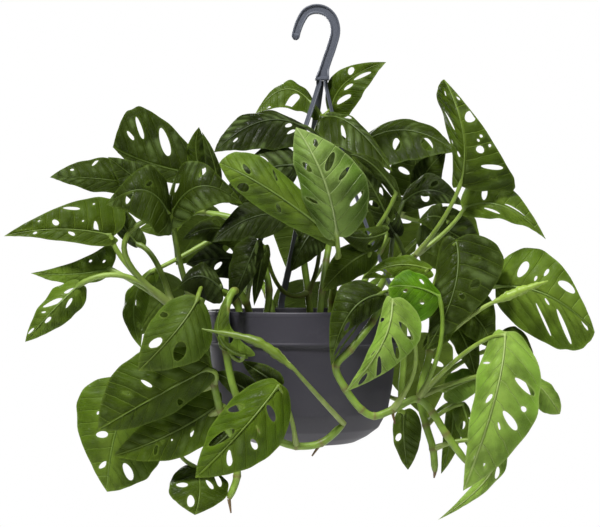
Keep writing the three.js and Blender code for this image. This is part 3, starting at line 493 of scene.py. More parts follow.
@dataclass(frozen=True)
class SoilFinish:
    """Damp potting mix with bark: its dark and light colours and its crumbs."""

    name: str
    dark: RGB
    light: RGB
    crumbs_per_metre: float
    roughness: float = 0.92
    relief: Band = (0.8, 0.0015)

    def material(self, crumb: Tree) -> Material:
        """Makes the material with the shared crumbs."""
        coat = Coat(self.name)
        grit = coat.effect(crumb, Crumbs=self.crumbs_per_metre)
        colour = coat.mix(grit["Light"], linear(self.dark), linear(self.light))
        return coat.paint(colour, self.roughness, grit["Relief"], *self.relief)


POT_PLASTIC = PlasticFinish("slate_pot_plastic", (54, 52, 60), (78, 76, 84), 0.5, 1500.0, 0.28)
HANGER_PLASTIC = PlasticFinish("grey_hanger_plastic", (84, 88, 98), (118, 122, 130), 0.42, 1100.0, 0.3)
POTTING_MIX = SoilFinish("potting_mix", (44, 30, 24), (128, 92, 74), 420.0)
BARK = SoilFinish("bark_chips", (74, 46, 34), (168, 128, 104), 700.0)


class FinishShop:
    """The materials of the plant, the pot and the hanger, each made once."""

    def __init__(self) -> None:
        """Builds the shared effects and every material."""
        grain, crumb = MouldedGrain().group(), SoilCrumbs().group()
        self.blade, self.stalk = BladeFinish().material(), StalkFinish().material()
        self.pot, self.hanger = POT_PLASTIC.material(grain), HANGER_PLASTIC.material(grain)
        self.soil, self.bark = POTTING_MIX.material(crumb), BARK.material(crumb)


# ---- plans of the plant


@dataclass(frozen=True)
class Leaf:
    """One leaf on the drawing.

    Attributes:
        source: Number of the stem's path spot that the stalk leaves.
        via: Spot half way along the stalk.
        base: Spot where the blade starts.
        mid: Spot half way along the midrib.
        tip: Spot of the tip.
        right: Reach from the midrib to the edge of the right half.
        left: Reach from the midrib to the edge of the left half.
        tone: Colours of the leaf.
        slits: Holes as rib share, reach, rib share, reach and width in millimetres.
        taper: Above one brings the widest place nearer the stalk.
        left_taper: The same for the left half, if it differs.
        marks: Holes whose ends are given on the drawing.
    """

    source: int
    via: Spot
    base: Spot
    mid: Spot
    tip: Spot
    right: Spot
    left: Spot
    tone: Tone
    slits: tuple[Slit, ...] = ()
    taper: float = 1.0
    left_taper: float | None = None
    marks: tuple[Slit, ...] = ()


@dataclass(frozen=True)
class Roll:
    """A rolled young leaf: where its stalk starts, the stalk's middle, the roll's path and its green."""

    source: int
    via: Spot
    path: tuple[Spot, ...]
    green: RGB = (150, 178, 66)


@dataclass(frozen=True)
class StemPlan:
    """One leafy stem: its path from the soil, what it bears, and the radius of its leaf stalks."""

    name: str
    path: tuple[Spot, ...]
    leaves: tuple[Leaf, ...]
    rolls: tuple[Roll, ...] = ()
    roots: tuple[tuple[int, Spot], ...] = ()
    stalk_radius: float = 2.3


THREE_SLITS = ((0.34, 0.26, 0.46, 0.64, 8), (0.24, -0.24, 0.38, -0.72, 4.5), (0.5, -0.2, 0.6, -0.52, 5))
ONE_SLIT = ((0.38, 0.26, 0.5, 0.66, 6),)
TWO_SLITS = ((0.36, 0.24, 0.48, 0.64, 5), (0.28, -0.24, 0.42, -0.66, 5))
SLIT_HALF_WIDTH = 36

# A rear leaf, in millimetres: the rise and bulge of its middle, and how its halves droop.
REAR_RISE = 8
REAR_BULGE = 14
REAR_DROOP = -4


def rear_leaf(source: int, via: Spot, base: Spot, reach: Spot, half: float, tone: Tone) -> Leaf:
    """Plans a leaf that hangs away from the front, with its upper face to the back.

    Args:
        source: Number of the path spot that the stalk leaves.
        via: Spot half way along the stalk.
        base: Spot where the blade starts.
        reach: Way from the base to the tip.
        half: Width of each half in millimetres.
        tone: Colours of the leaf.

    Returns:
        The leaf.
    """
    length = math.hypot(reach[0], reach[1])
    across, down = half * reach[1] / length, -half * reach[0] / length
    mid = shifted(base, (reach[0] / 2, reach[1] / 2 - REAR_RISE, reach[2] / 2 + REAR_BULGE))
    sides = (across, down, REAR_DROOP), (-across, -down, REAR_DROOP)
    slits = ONE_SLIT if half >= SLIT_HALF_WIDTH else ()
    return Leaf(source, via, base, mid, shifted(base, reach), *sides, tone, slits=slits)


STEMS: tuple[StemPlan, ...] = (
    StemPlan(
        "stem_crown", ((312, 336, 12), (308, 292, 8), (303, 250, 10), (305, 200, 14), (313, 150, 12),
        (321, 118, 4)), (
        Leaf(5, (326, 114, 8), (331, 112, 5), (346, 82, -5), (386, 62, -15), (16, 14, -8), (-10, -12, 4),
            Tone.MID, marks=((350, 75, 352, 67, 6), (354, 80, 371, 72, 4), (344, 90, 353, 84, 3.5),
            (337, 104, 351, 95, 5))),
        Leaf(5, (318, 111, 3), (313, 105, 4), (285, 89, 5), (255, 114, -2), (1, -11, 10), (11, 22, -8),
            Tone.MID, taper=1.2, marks=((284, 114, 299, 95, 7), (267, 113, 270, 106, 4),
            (294, 115, 296, 114, 2.5))),
        Leaf(4, (316, 136, -12), (306, 128, -34), (262, 121, -44), (214, 152, -52), (-10, -12, 14),
            (1, 28, -12), Tone.DEEP, taper=0.6, left_taper=0.9, marks=((233, 142, 238, 138, 3),
            (285, 127, 292, 124, 4), (287, 134, 295, 130, 3))),
        Leaf(5, (322, 116, -4), (323, 117, -22), (354, 126, -42), (393, 172, -60), (-12, 22, -16),
            (5, -7, 6), Tone.DARK, slits=TWO_SLITS),
        Leaf(4, (330, 150, 34), (362, 142, 48), (408, 130, 40), (456, 152, 24), (-4, 32, -26), (2, -14, 20),
            Tone.DARK, left_taper=0.6, marks=((396, 138, 397, 150, 8), (427, 138, 427, 150, 12))),
        Leaf(3, (306, 182, -26), (297, 165, -50), (258, 172, -58), (222, 198, -58), (-2, -23, 8),
            (-9, 38, -4), Tone.DEEP, slits=TWO_SLITS),
        Leaf(2, (298, 232, -36), (285, 215, -60), (250, 218, -74), (212, 242, -84), (-5, -19, 10),
            (0, 22, -8), Tone.DEEP),
        Leaf(1, (318, 262, -8), (320, 226, -24), (306, 240, -36), (290, 272, -36), (-9, -9, 6), (14, 16, 4),
            Tone.DEEP),
        Leaf(1, (282, 290, -30), (265, 245, -72), (260, 269, -74), (254, 306, -74), (-9, -2, 4), (9, 2, 4),
            Tone.DARK),
        ),
    ),
    StemPlan(
        "stem_left_high", ((262, 336, 20), (269, 290, 24), (258, 250, 32), (240, 222, 42), (204, 212, 52)), (
        Leaf(4, (202, 196, 58), (196, 174, 60), (150, 163, 44), (113, 147, 30), (-4, -56, 14), (0, 12, -8),
            Tone.DARK, taper=0.62, left_taper=0.9, marks=((127, 131, 134, 140, 6), (136, 117, 143, 139, 6),
            (161, 128, 168, 156, 10))),
        Leaf(4, (166, 204, 40), (138, 184, 20), (92, 178, -2), (50, 177, -14), (4, -23, 16), (-2, 11, -8),
            Tone.DARK, marks=((70, 170, 74, 170, 3), (92, 166, 98, 160, 3))),
        Leaf(4, (202, 190, 56), (200, 168, 52), (196, 148, 42), (199, 127, 36), (11, -2, 4), (-11, 2, 4),
            Tone.MID),
        Leaf(2, (256, 262, 16), (258, 262, 0), (222, 258, -30), (186, 264, -44), (-2, -20, 12), (0, 20, -8),
            Tone.DEEP, slits=THREE_SLITS),
        Leaf(4, (172, 206, 46), (162, 198, 30), (138, 180, 12), (108, 157, 4), (10, -16, 8), (-12, 16, -6),
            Tone.DARK, slits=TWO_SLITS),
        Leaf(3, (234, 238, 12), (240, 238, -8), (212, 228, -24), (182, 240, -30), (0, -14, 8), (0, 14, -4),
            Tone.DARK, slits=TWO_SLITS),
        Leaf(3, (186, 254, 38), (152, 270, 20), (134, 304, 12), (141, 348, 2), (-14, 4, 6), (16, 0, 6),
            Tone.FRESH, marks=((131, 300, 140, 306, 4), (138, 323, 142, 331, 4))),
        Leaf(4, (192, 214, 42), (180, 222, 32), (159, 226, 24), (138, 230, 16), (-1, -10, 6), (2, 9, -4),
            Tone.MID),
        Leaf(4, (208, 202, 46), (214, 196, 40), (216, 172, 32), (202, 132, 28), (7, -3, 4), (-12, 1, 4),
            Tone.DARK),
        ),
        stalk_radius=2.6,
    ),
    StemPlan(
        "stem_left", ((240, 336, -8), (236, 300, -14), (216, 290, -26), (190, 296, -40), (172, 306, -50)), (
        Leaf(4, (130, 268, -54), (114, 236, -56), (60, 229, -70), (4, 236, -75), (21, -34, 10), (3, 12, -6),
            Tone.MID, taper=1.25, left_taper=1.2, marks=((63, 208, 80, 209, 3.5), (53, 220, 58, 225, 4.5),
            (17, 232, 30, 231, 3.5), (68, 232, 75, 235, 4), (95, 221, 98, 233, 4), (33, 234, 37, 232, 2.5),
            (93, 203.5, 94.5, 204.5, 2), (38, 221, 40, 221, 2), (82, 221, 84, 221, 2))),
        Leaf(4, (138, 284, -46), (112, 268, -40), (74, 274, -52), (31, 273, -60), (6, -31, 14), (0, 9, -6),
            Tone.FRESH, taper=3.6, left_taper=0.9, marks=((84, 257, 89, 250, 6), (95, 252, 101, 248, 4),
            (89, 262, 92, 260, 3), (103, 263, 105, 260, 3))),
        Leaf(4, (124, 276, -66), (80, 284, -64), (53, 310, -78), (25, 342, -72), (-13, -10, 8), (15, 14, 8),
            Tone.FRESH, marks=((64, 293, 76, 289, 5), (43, 307, 63, 299, 6), (45, 323, 51, 317, 3.5),
            (66, 308, 72, 298, 3.5), (41.5, 312.5, 46, 312, 2), (28, 334, 34, 328, 2.5))),
        Leaf(4, (124, 248, -75), (170, 216, -72), (144, 190, -98), (106, 205, -90), (4, -28, 10),
            (2, 34, -12), Tone.DARK, marks=((127, 204, 131, 190, 5), (146, 186, 152, 182, 4))),
        Leaf(4, (156, 262, -44), (139, 246, -38), (122, 222, -44), (113, 195, -40), (14, -3, 4), (-13, 2, 4),
            Tone.DARK),
        Leaf(3, (178, 254, -60), (170, 216, -62), (200, 186, -90), (243, 204, -78), (2, 24, -10),
            (-6, -29, 12), Tone.DARK, slits=((0.14, -0.36, 0.24, -0.74, 7),),
            marks=((199, 177, 206, 168, 4.5), (206, 209, 214, 205, 5))),
        ),
        stalk_radius=3.0,
    ),
    StemPlan(
        "stem_left_low", ((246, 336, -28), (234, 300, -36), (212, 290, -56), (200, 306, -88),
        (203, 345, -104), (214, 385, -104), (220, 410, -96), (232, 442, -82), (237, 476, -76),
        (229, 499, -78)), (
        Leaf(2, (204, 284, -94), (198, 298, -124), (176, 331, -146), (138, 371, -138), (-32, -6, 12),
            (24, 32, 8), Tone.OLIVE, marks=((149, 344, 162, 342, 12), (176, 361, 183, 342, 13),
            (160, 313, 167, 317, 6))),
        Leaf(2, (218, 282, -86), (222, 290, -106), (200, 276, -112), (178, 288, -108), (0, -16, 8),
            (0, 24, 6), Tone.DEEP),
        Leaf(5, (172, 396, -84), (135, 386, -58), (115, 434, -68), (107, 492, -62), (-43, -19, 10),
            (42, 40, 4), Tone.FRESH, marks=((96, 435, 108, 434, 6), (99, 468, 107, 462, 4),
            (123, 464, 133, 479, 11), (97, 414.5, 99, 411.5, 2.5), (109, 411.5, 113, 411.5, 1.6))),
        Leaf(5, (216, 374, -112), (211, 367, -114), (150, 400, -112), (98, 430, -100), (-29, -37, -2),
            (10, 22, 10), Tone.MID, taper=0.85, marks=((141, 380, 152, 387, 4), (122, 392, 130, 394, 3.5),
            (178, 399, 183, 406, 5))),
        Leaf(6, (224, 406, -92), (222, 402, -90), (170, 434, -92), (113, 456, -82), (-14, -24, 4),
            (8, 26, -4), Tone.MID, marks=((155, 455, 157, 445, 4), (191, 437, 193, 428, 3.5),
            (162.5, 441, 163.5, 442, 1.6), (172, 441, 172, 439, 1.8))),
        Leaf(6, (180, 444, -64), (197, 466, -56), (200, 490, -84), (195, 515, -96), (-31, 0, -4),
            (30, 1, 10), Tone.MID, taper=0.8, marks=((176, 485, 188, 485, 6), (190, 495, 191, 507, 7),
            (206, 480, 213, 489, 5), (215, 473, 220, 487, 6))),
        Leaf(6, (228, 418, -84), (236, 424, -84), (222, 440, -90), (204, 452, -90), (-8, -10, 4), (8, 10, 4),
            Tone.DARK),
        ),
        roots=((9, (231, 513, -78)),),
    ),
    StemPlan(
        "stem_front", ((254, 336, -46), (246, 302, -68), (234, 291, -98), (226, 310, -118), (226, 350, -122),
        (238, 400, -118), (258, 430, -112), (276, 440, -108), (296, 446, -106), (321, 443, -104),
        (344, 424, -104)), (
        Leaf(8, (290, 414, -132), (280, 383, -150), (244, 428, -172), (195, 478, -152), (-33, -8, 10),
            (22, 36, 12), Tone.YOUNG, marks=((228, 410, 244, 407, 10), (209, 446, 234, 429, 11),
            (267, 405, 275, 421, 8), (251, 439, 257, 449, 6), (229, 450, 230, 466, 6),
            (256, 425, 260, 434, 2.2))),
        Leaf(4, (238, 360, -122), (247, 357, -126), (219, 336, -138), (227, 294, -134), (16, -6, 4),
            (-6, 4, 8), Tone.FRESH, slits=THREE_SLITS),
        Leaf(1, (252, 272, -90), (258, 240, -92), (246, 268, -98), (230, 306, -92), (-18, -8, 6), (11, 6, 4),
            Tone.DEEP),
        Leaf(7, (284, 412, -116), (281, 386, -126), (262, 374, -122), (242, 361, -112), (6, -10, 2),
            (-6, 10, 2), Tone.DARK),
        Leaf(5, (254, 402, -110), (258, 398, -106), (237, 384, -104), (214, 372, -98), (4, -13, 2),
            (-6, 12, 2), Tone.DARK),
        ),
        rolls=(Roll(10, (318, 396, -132), ((294, 369, -150), (258, 342, -150),
            (202, 329, -140)), (104, 128, 30)),),
        roots=((9, (312, 456, -102)),),
    ),
    StemPlan(
        "stem_centre", ((330, 336, -34), (332, 300, -48), (336, 272, -76), (338, 256, -104)), (
        Leaf(3, (337, 246, -124), (334, 237, -136), (272, 191, -164), (219, 163, -150), (-2, -31, 16),
            (-10, 21, 8), Tone.FRESH, taper=0.6, marks=((243, 164, 250, 174, 8), (237, 187, 249, 188, 9),
            (273, 168, 277, 181, 4), (277, 203, 280, 213, 4.5))),
        Leaf(3, (338, 247, -132), (337, 237, -150), (324, 180, -178), (296, 127, -158), (40, -14, 14),
            (-30, -2, 14), Tone.PALE, left_taper=0.85, marks=((334, 152, 326, 171, 6.5),
            (349, 167, 339, 180, 4.5), (364, 191, 350, 206, 5), (315, 139, 316, 147, 4.5),
            (303, 162, 311, 172, 7.5), (305, 197, 318, 203, 4))),
        Leaf(2, (376, 236, -62), (389, 222, -66), (374, 190, -76), (352, 156, -74), (11, -7, 6),
            (-12, 10, 4), Tone.DARK, slits=TWO_SLITS),
        Leaf(2, (374, 232, -80), (398, 196, -84), (374, 166, -92), (350, 154, -88), (6, -7, 6), (-4, 8, 4),
            Tone.DARK),
        Leaf(2, (372, 258, -90), (388, 232, -88), (364, 238, -104), (338, 232, -100), (0, -12, 6),
            (0, 14, -4), Tone.DARK, slits=TWO_SLITS),
        Leaf(2, (362, 262, -94), (372, 250, -96), (346, 266, -106), (322, 292, -102), (-12, -14, 4),
            (12, 14, 4), Tone.MID),
        ),
    ),
    StemPlan(
        "stem_right_front", ((362, 336, -34), (372, 302, -60), (384, 296, -92), (372, 322, -118),
        (350, 350, -126), (336, 366, -126), (345, 388, -120), (362, 410, -114), (374, 416, -112),
        (392, 410, -108), (418, 399, -98), (432, 412, -98), (446, 434, -100), (467, 463, -100)), (
        Leaf(9, (416, 356, -132), (392, 298, -152), (382, 344, -166), (345, 392, -150), (-14, 2, 6),
            (34, 8, 12), Tone.LIGHT, marks=((377, 321, 384, 320, 4.5), (399, 322, 413, 340, 6),
            (392, 337, 398, 359, 4.5), (379, 356, 378, 380, 4), (367, 373, 359, 385, 4),
            (371, 356, 375, 351, 1.5), (383, 344, 383, 347, 1.3))),
        Leaf(2, (386, 292, -110), (383, 294, -124), (350, 313, -140), (331, 366, -134), (-16, -20, 8),
            (12, 14, 6), Tone.DARK, marks=((320, 331, 327, 327, 6), (334, 356, 358, 325, 4),
            (344, 331, 350, 322, 4))),
        Leaf(2, (408, 285, -104), (431, 270, -110), (396, 265, -112), (362, 279, -106), (-2, -11, 6),
            (2, 14, -2), Tone.YOUNG, marks=((375, 271, 386, 275, 3), (380, 267, 392, 276, 1.4))),
        Leaf(10, (440, 346, -112), (441, 297, -122), (416, 287, -132), (388, 287, -128), (-8, -20, 8),
            (-16, 34, 6), Tone.VIVID, marks=((403, 291, 408, 290, 4), (420, 278, 423, 284, 4),
            (420, 300, 424, 304, 4))),
        Leaf(9, (398, 410, -96), (404, 410, -86), (404, 440, -84), (408, 470, -76), (-12, 2, 4), (19, 0, 4),
            Tone.MID, slits=ONE_SLIT),
        ),
        roots=((9, (395, 424, -110)),),
    ),
    StemPlan(
        "stem_right", ((352, 336, -6), (378, 300, -30), (408, 288, -58), (430, 306, -68), (430, 350, -76),
        (420, 396, -80), (426, 425, -82), (433, 449, -82), (435, 472, -80)), (
        Leaf(3, (440, 268, -78), (456, 239, -86), (454, 290, -104), (426, 350, -112), (-23, -2, 8),
            (47, -8, 9), Tone.DARK, marks=((473, 258, 480, 259, 5), (459, 292, 464, 299, 4),
            (470, 287, 480, 282, 11))),
        Leaf(3, (462, 292, -60), (495, 287, -58), (547, 295, -78), (595, 332, -72), (19, 57, -4),
            (2, -43, 8), Tone.FRESH, taper=0.85, left_taper=0.8, marks=((518, 277, 528, 262, 8.5),
            (544, 276, 549, 269, 3), (558, 283, 575, 291, 9), (536, 303, 551, 336, 3),
            (557, 309, 571, 344, 6), (582, 315, 587, 330, 7), (534.5, 281, 537, 276, 2.5),
            (584, 306, 586, 302, 3), (545, 298, 549, 305, 3))),
        Leaf(5, (470, 349, -104), (505, 331, -116), (495, 398, -150), (463, 491, -132), (-26, 6, 10),
            (44, 16, 12), Tone.LIGHT, left_taper=0.72, marks=((515, 378, 535, 395, 8),
            (503, 411, 517, 430, 7), (521, 407, 526, 411, 5), (486, 403, 492, 394, 5),
            (483, 363, 490, 363, 2.5), (498, 422, 500, 430, 2), (474, 459, 477, 454, 2),
            (484, 463, 486, 469, 2.5), (480, 449, 482, 446, 2))),
        Leaf(5, (488, 374, -72), (529, 376, -66), (547, 394, -74), (560, 414, -70), (-9, 12, -4), (9, -7, 6),
            Tone.LIGHT, taper=0.6),
        Leaf(5, (456, 366, -66), (486, 352, -58), (512, 342, -64), (534, 356, -58), (0, 14, -2), (3, -17, 6),
            Tone.MID, taper=0.7),
        Leaf(7, (470, 440, -88), (500, 446, -92), (485, 481, -104), (438, 520, -108), (-9, -6, 4),
            (11, 6, 4), Tone.LIGHT, slits=TWO_SLITS, taper=1.45),
        Leaf(5, (432, 390, -70), (444, 392, -66), (466, 382, -70), (490, 376, -66), (3, 17, -2),
            (-3, -15, 4), Tone.LIGHT),
        Leaf(6, (446, 410, -70), (462, 402, -64), (470, 428, -68), (478, 458, -64), (-14, 4, 4), (10, 4, 4),
            Tone.FRESH, slits=TWO_SLITS),
        Leaf(6, (442, 408, -60), (454, 400, -52), (451, 438, -54), (441, 474, -50), (-9, -2, 2), (11, 2, 2),
            Tone.FRESH),
        Leaf(4, (448, 322, -72), (462, 308, -74), (480, 322, -84), (494, 350, -80), (-12, 16, -2),
            (15, -20, 4), Tone.MID),
        Leaf(4, (446, 332, -72), (454, 322, -68), (467, 346, -74), (476, 378, -70), (-13, 5, 4), (14, -4, 4),
            Tone.MID),
        Leaf(4, (446, 330, -90), (452, 318, -94), (435, 334, -100), (422, 350, -101), (-6, -6, 6),
            (10, 12, 4), Tone.MID),
        ),
        rolls=(Roll(4, (468, 318, -92), ((494, 302, -99), (520, 291, -103), (548, 281, -105))),),
        roots=((8, (434, 478, -80)),),
    ),
    StemPlan(
        "stem_right_high", ((366, 336, 14), (374, 300, 8), (390, 272, 0), (406, 262, -30),
        (417, 254, -58)), (
        Leaf(4, (445, 216, -82), (460, 186, -92), (463, 134, -104), (444, 79, -84), (56, 8, 14),
            (-21, -5, 20), Tone.MID, taper=3, left_taper=0.35, marks=((466, 121, 474, 113, 9),
            (476, 150, 484, 149, 7.5), (481, 166, 503, 168, 5), (444, 111, 455, 130, 3),
            (457, 151, 460, 157, 3), (456.5, 96.5, 460, 100, 2.5), (480, 134.5, 482, 137.5, 3.5),
            (477, 139, 479.5, 141.5, 2.6), (488.5, 144.5, 491, 146.5, 3.6), (489.5, 177, 497, 179, 2.2),
            (445, 91, 446, 96, 2), (451.5, 139.5, 452.5, 144, 1.5))),
        Leaf(4, (446, 231, -58), (462, 209, -62), (503, 206, -78), (546, 239, -72), (4, 14, -6),
            (3, -33, 12), Tone.FRESH, left_taper=1.6, marks=((484, 200, 485, 188, 6),
            (505, 204, 530, 222, 4), (484, 208, 500, 214, 2.5))),
        Leaf(3, (430, 240, -42), (449, 222, -40), (434, 216, -52), (418, 222, -48), (2, -14, 6), (0, 15, -4),
            Tone.DARK),
        Leaf(2, (394, 232, -24), (402, 204, -24), (430, 190, -40), (464, 206, -36), (2, 15, -4), (3, -19, 6),
            Tone.DEEP, slits=THREE_SLITS),
        Leaf(3, (402, 248, -38), (396, 236, -34), (384, 214, -44), (376, 190, -40), (14, -4, 4), (-13, 4, 4),
            Tone.DEEP, slits=THREE_SLITS),
        ),
    ),
    StemPlan(
        "stem_back_right", ((348, 336, 44), (360, 292, 52), (380, 250, 58), (400, 215, 66)), (
        Leaf(3, (408, 205, 70), (414, 192, 76), (415, 158, 86), (408, 126, 82), (23, -4, 8), (-25, 6, -6),
            Tone.MID, slits=TWO_SLITS),
        Leaf(3, (414, 220, 70), (424, 222, 74), (454, 234, 88), (486, 258, 82), (-14, 24, -8), (14, -20, 10),
            Tone.DARK, slits=THREE_SLITS),
        Leaf(3, (410, 200, 58), (418, 192, 52), (427, 171, 46), (446, 151, 40), (14, 9, -4), (-12, -8, 4),
            Tone.DARK),
        ),
    ),
    StemPlan(
        "stem_rear_left", ((276, 336, 52), (268, 296, 66), (256, 280, 96), (240, 300, 128), (236, 350, 136),
        (240, 400, 132)), (
        rear_leaf(2, (238, 240, 110), (222, 215, 120), (-46, 50, 30), 34, Tone.MID),
        rear_leaf(3, (208, 288, 140), (184, 285, 140), (-46, 50, 16), 32, Tone.DARK),
        rear_leaf(4, (222, 345, 150), (206, 345, 158), (-24, 80, 8), 36, Tone.DARK),
        rear_leaf(5, (250, 392, 146), (268, 362, 152), (10, 68, 14), 34, Tone.MID),
        ),
    ),
    StemPlan(
        "stem_rear", ((318, 336, 58), (322, 292, 72), (326, 262, 90), (330, 240, 112)), (
        rear_leaf(3, (326, 216, 126), (318, 196, 136), (-30, 76, 34), 38, Tone.DARK),
        rear_leaf(3, (350, 222, 126), (372, 205, 132), (36, 70, 32), 36, Tone.MID),
        rear_leaf(2, (320, 270, 118), (312, 282, 146), (-10, 86, 22), 36, Tone.DARK),
        rear_leaf(3, (328, 220, 106), (326, 196, 92), (8, -66, 28), 32, Tone.DEEP),
        ),
    ),
    StemPlan(
        "stem_rear_right", ((352, 336, 50), (362, 296, 66), (382, 280, 92), (400, 300, 118), (404, 350, 126),
        (400, 400, 122)), (
        rear_leaf(2, (410, 246, 110), (430, 232, 116), (50, 40, 26), 34, Tone.MID),
        rear_leaf(3, (430, 300, 130), (446, 292, 134), (34, 34, 8), 28, Tone.DARK),
        rear_leaf(4, (412, 344, 140), (412, 336, 150), (16, 84, 14), 36, Tone.MID),
        rear_leaf(5, (380, 390, 142), (356, 362, 150), (-18, 66, 12), 34, Tone.DARK),
        ),
    ),
)


# ---- curves

# What counts as no length, no area and no gap between flat points.
NO_LENGTH = 1e-6
NO_AREA = 1e-12
NO_GAP = 1e-5


def spline(corners: Array, steps: int) -> Array:
    """Runs a centripetal Catmull-Rom curve through its corners.

    Args:
        corners: The points, one a row.
        steps: Points for each stretch between two corners.

    Returns:
        The points of the curve, which ends on its last corner.
    """
    points = [np.asarray(c, float) for c in corners]
    ring = [2 * points[0] - points[1], *points, 2 * points[-1] - points[-2]]
    made = []
    for a, b, c, d in zip(ring, ring[1:], ring[2:], ring[3:]):
        gaps = [max(math.sqrt(float(np.linalg.norm(q - p))), NO_LENGTH) for p, q in ((a, b), (b, c), (c, d))]
        lead = (b - a) / gaps[0] - (c - a) / (gaps[0] + gaps[1]) + (c - b) / gaps[1]
        trail = (c - b) / gaps[1] - (d - b) / (gaps[1] + gaps[2]) + (d - c) / gaps[2]
        lead, trail = lead * gaps[1], trail * gaps[1]
        for t in np.arange(steps) / steps:
            cubic = (2 * b - 2 * c + lead + trail) * t**3 + (-3 * b + 3 * c - 2 * lead - trail) * t**2
            made.append(cubic + lead * t + b)
    return np.array([*made, points[-1]])


def bow(start: Array, control: Array, end: Array, t: Array) -> Array:
    """Gives points of a quadratic curve at shares of it."""
    return start * (1 - t) ** 2 + control * 2 * t * (1 - t) + end * t**2


def arc(start: Array, via: Array, end: Array, steps: int) -> Array:
    """Runs a quadratic curve in a number of stretches through a middle point."""
    return bow(start, 2 * via - 0.5 * start - 0.5 * end, end, np.linspace(0, 1, steps + 1)[:, None])


def inside(points: Array, loop: Array) -> Array:
    """Tests which flat points lie inside a closed loop."""
    x, y = points[:, :1], points[:, 1:]
    (x1, y1), (x2, y2) = loop.T, np.roll(loop, -1, axis=0).T
    rise = np.where(y2 == y1, NO_AREA, y2 - y1)
    hits = ((y1 > y) != (y2 > y)) & (x < (x2 - x1) * (y - y1) / rise + x1)
    return hits.sum(axis=1) % 2 == 1


def distance(points: Array, loop: Array) -> Array:
    """Measures how far flat points lie from a closed loop."""
    run = np.roll(loop, -1, axis=0) - loop
    rel = points[:, None, :] - loop[None]
    share = np.clip((rel * run).sum(-1) / np.maximum((run * run).sum(-1), NO_AREA), 0, 1)
    return np.linalg.norm(rel - share[..., None] * run, axis=-1).min(axis=1)


# ---- blades

# The edge of half a blade from the stalk to the tip: share of the midrib, share of the half's reach.
EDGE = ((-0.03, 0.3), (0.04, 0.68), (0.18, 0.95), (0.38, 1.0), (0.58, 0.86), (0.77, 0.55), (0.91, 0.24))
ROW_HEIGHT = 0.866
EDGE_STEPS = 6
EDGE_WAVES = ((5, 0.012), (9, 0.008))
EDGE_INSET = 0.01

# A hole: how near it comes to the midrib, the edge and both ends, and how its egg is drawn.
NEAR_RIB = 0.07
NEAR_EDGE = 0.87
HOLE_RANGE = (0.04, 0.93)
HOLE_CORNERS = 10
HOLE_STEP = 1.6
EGG_START = 0.86
EGG_GROWTH = 0.28

# The bend of a blade in millimetres, and the millimetres between its points at the front and the back.
CUP = -4.0
WAVE = 1.2
WAVES = 2.5
OTHER_HALF = 2.0
RIB_SHARPNESS = 3
SPACING = 2.3
REAR_SPACING = 3.2
SEARCH_TURNS = 8


class BladeSurface:
    """The bent middle surface of one blade, by share of its midrib and reach of a half."""

    def __init__(self, leaf: Leaf, phase: float) -> None:
        """Places the midrib and both halves of a leaf, with a phase of its waves."""
        self.start, self.end, middle = at(leaf.base), at(leaf.tip), at(leaf.mid)
        self.control = 2 * middle - 0.5 * self.start - 0.5 * self.end
        self.right = at(shifted(leaf.mid, leaf.right)) - middle
        self.left = at(shifted(leaf.mid, leaf.left)) - middle
        self.phase = phase
        self.length = float(np.linalg.norm(self.end - self.start)) / MM
        self.reach = {1: float(np.linalg.norm(self.right)) / MM, -1: float(np.linalg.norm(self.left)) / MM}
        tapers = {1: leaf.taper, -1: leaf.left_taper or leaf.taper}
        self.edge = {s: np.array([(p if p < 0 else p ** tapers[s], q) for p, q in EDGE]) for s in (1, -1)}

    def along(self, p: Array) -> Array:
        """Gives the direction of the midrib."""
        share = np.maximum(p, 0)[..., None]
        return (self.control - self.start) * 2 * (1 - share) + (self.end - self.control) * 2 * share

    def rib(self, p: Array) -> Array:
        """Gives points of the midrib."""
        curve = bow(self.start, self.control, self.end, np.maximum(p, 0)[..., None])
        return curve + np.minimum(p, 0)[..., None] * self.along(np.zeros_like(p))

    def normal(self, p: Array, q: Array) -> Array:
        """Gives the upward normals of the flat halves, smoothed over the midrib."""
        along = self.along(p)
        right, left = unit(np.cross(self.right, along)), unit(np.cross(along, self.left))
        lean = np.minimum(1, RIB_SHARPNESS * np.abs(q))[..., None]
        side = np.where((q >= 0)[..., None], right, left)
        return unit(unit(right + left) * (1 - lean) + side * lean)

    def point(self, p: Array, q: Array, lift: Array | float = 0.0) -> Array:
        """Gives points of the blade.

        Args:
            p: Shares of the midrib.
            q: Reaches, negative on the left half.
            lift: Millimetres above the middle surface.

        Returns:
            The points in metres.
        """
        side = np.where((q >= 0)[..., None], self.right, self.left)
        ripple = np.sin(2 * np.pi * WAVES * p + self.phase + np.where(q >= 0, 0, OTHER_HALF))
        bend = (CUP + WAVE * ripple) * q * q + lift
        return self.rib(p) + side * np.abs(q)[..., None] + self.normal(p, q) * (MM * bend)[..., None]

    def locate(self, across: float, down: float) -> tuple[float, float]:
        """Finds the share of the midrib and the reach that stand at a place of the drawing."""
        p, q, step = 0.5, 0.01, 0.01

        def seen(share: float, reach: float) -> Array:
            """Gives the place on the drawing of a share and reach."""
            return on_drawing(self.point(np.array(share), np.array(reach)))

        for turn in range(SEARCH_TURNS):
            here = seen(p, q)
            a, c = (seen(p + step, q) - here) / step
            b, d = (seen(p, q + step) - here) / step
            x, y = across - here[0], down - here[1]
            size = a * d - b * c
            p = min(max(p + (d * x - b * y) / size, 0.0), 1.0)
            q = min(max(q + (a * y - c * x) / size, -1.0), 1.0)
            if turn == 0:
                q = step if abs(q) < step else q
        return p, q

    def side_reach(self, q: Array) -> Array:
        """Gives the millimetres of a whole reach on the side of each point."""
        return np.where(q >= 0, self.reach[1], self.reach[-1])


@dataclass
class Shell:
    """The points, faces and values of one blade."""

    points: Array
    polygons: list
    uv: Array
    tint: Array
    rib_tint: Array
    rim: Array
    under: Array


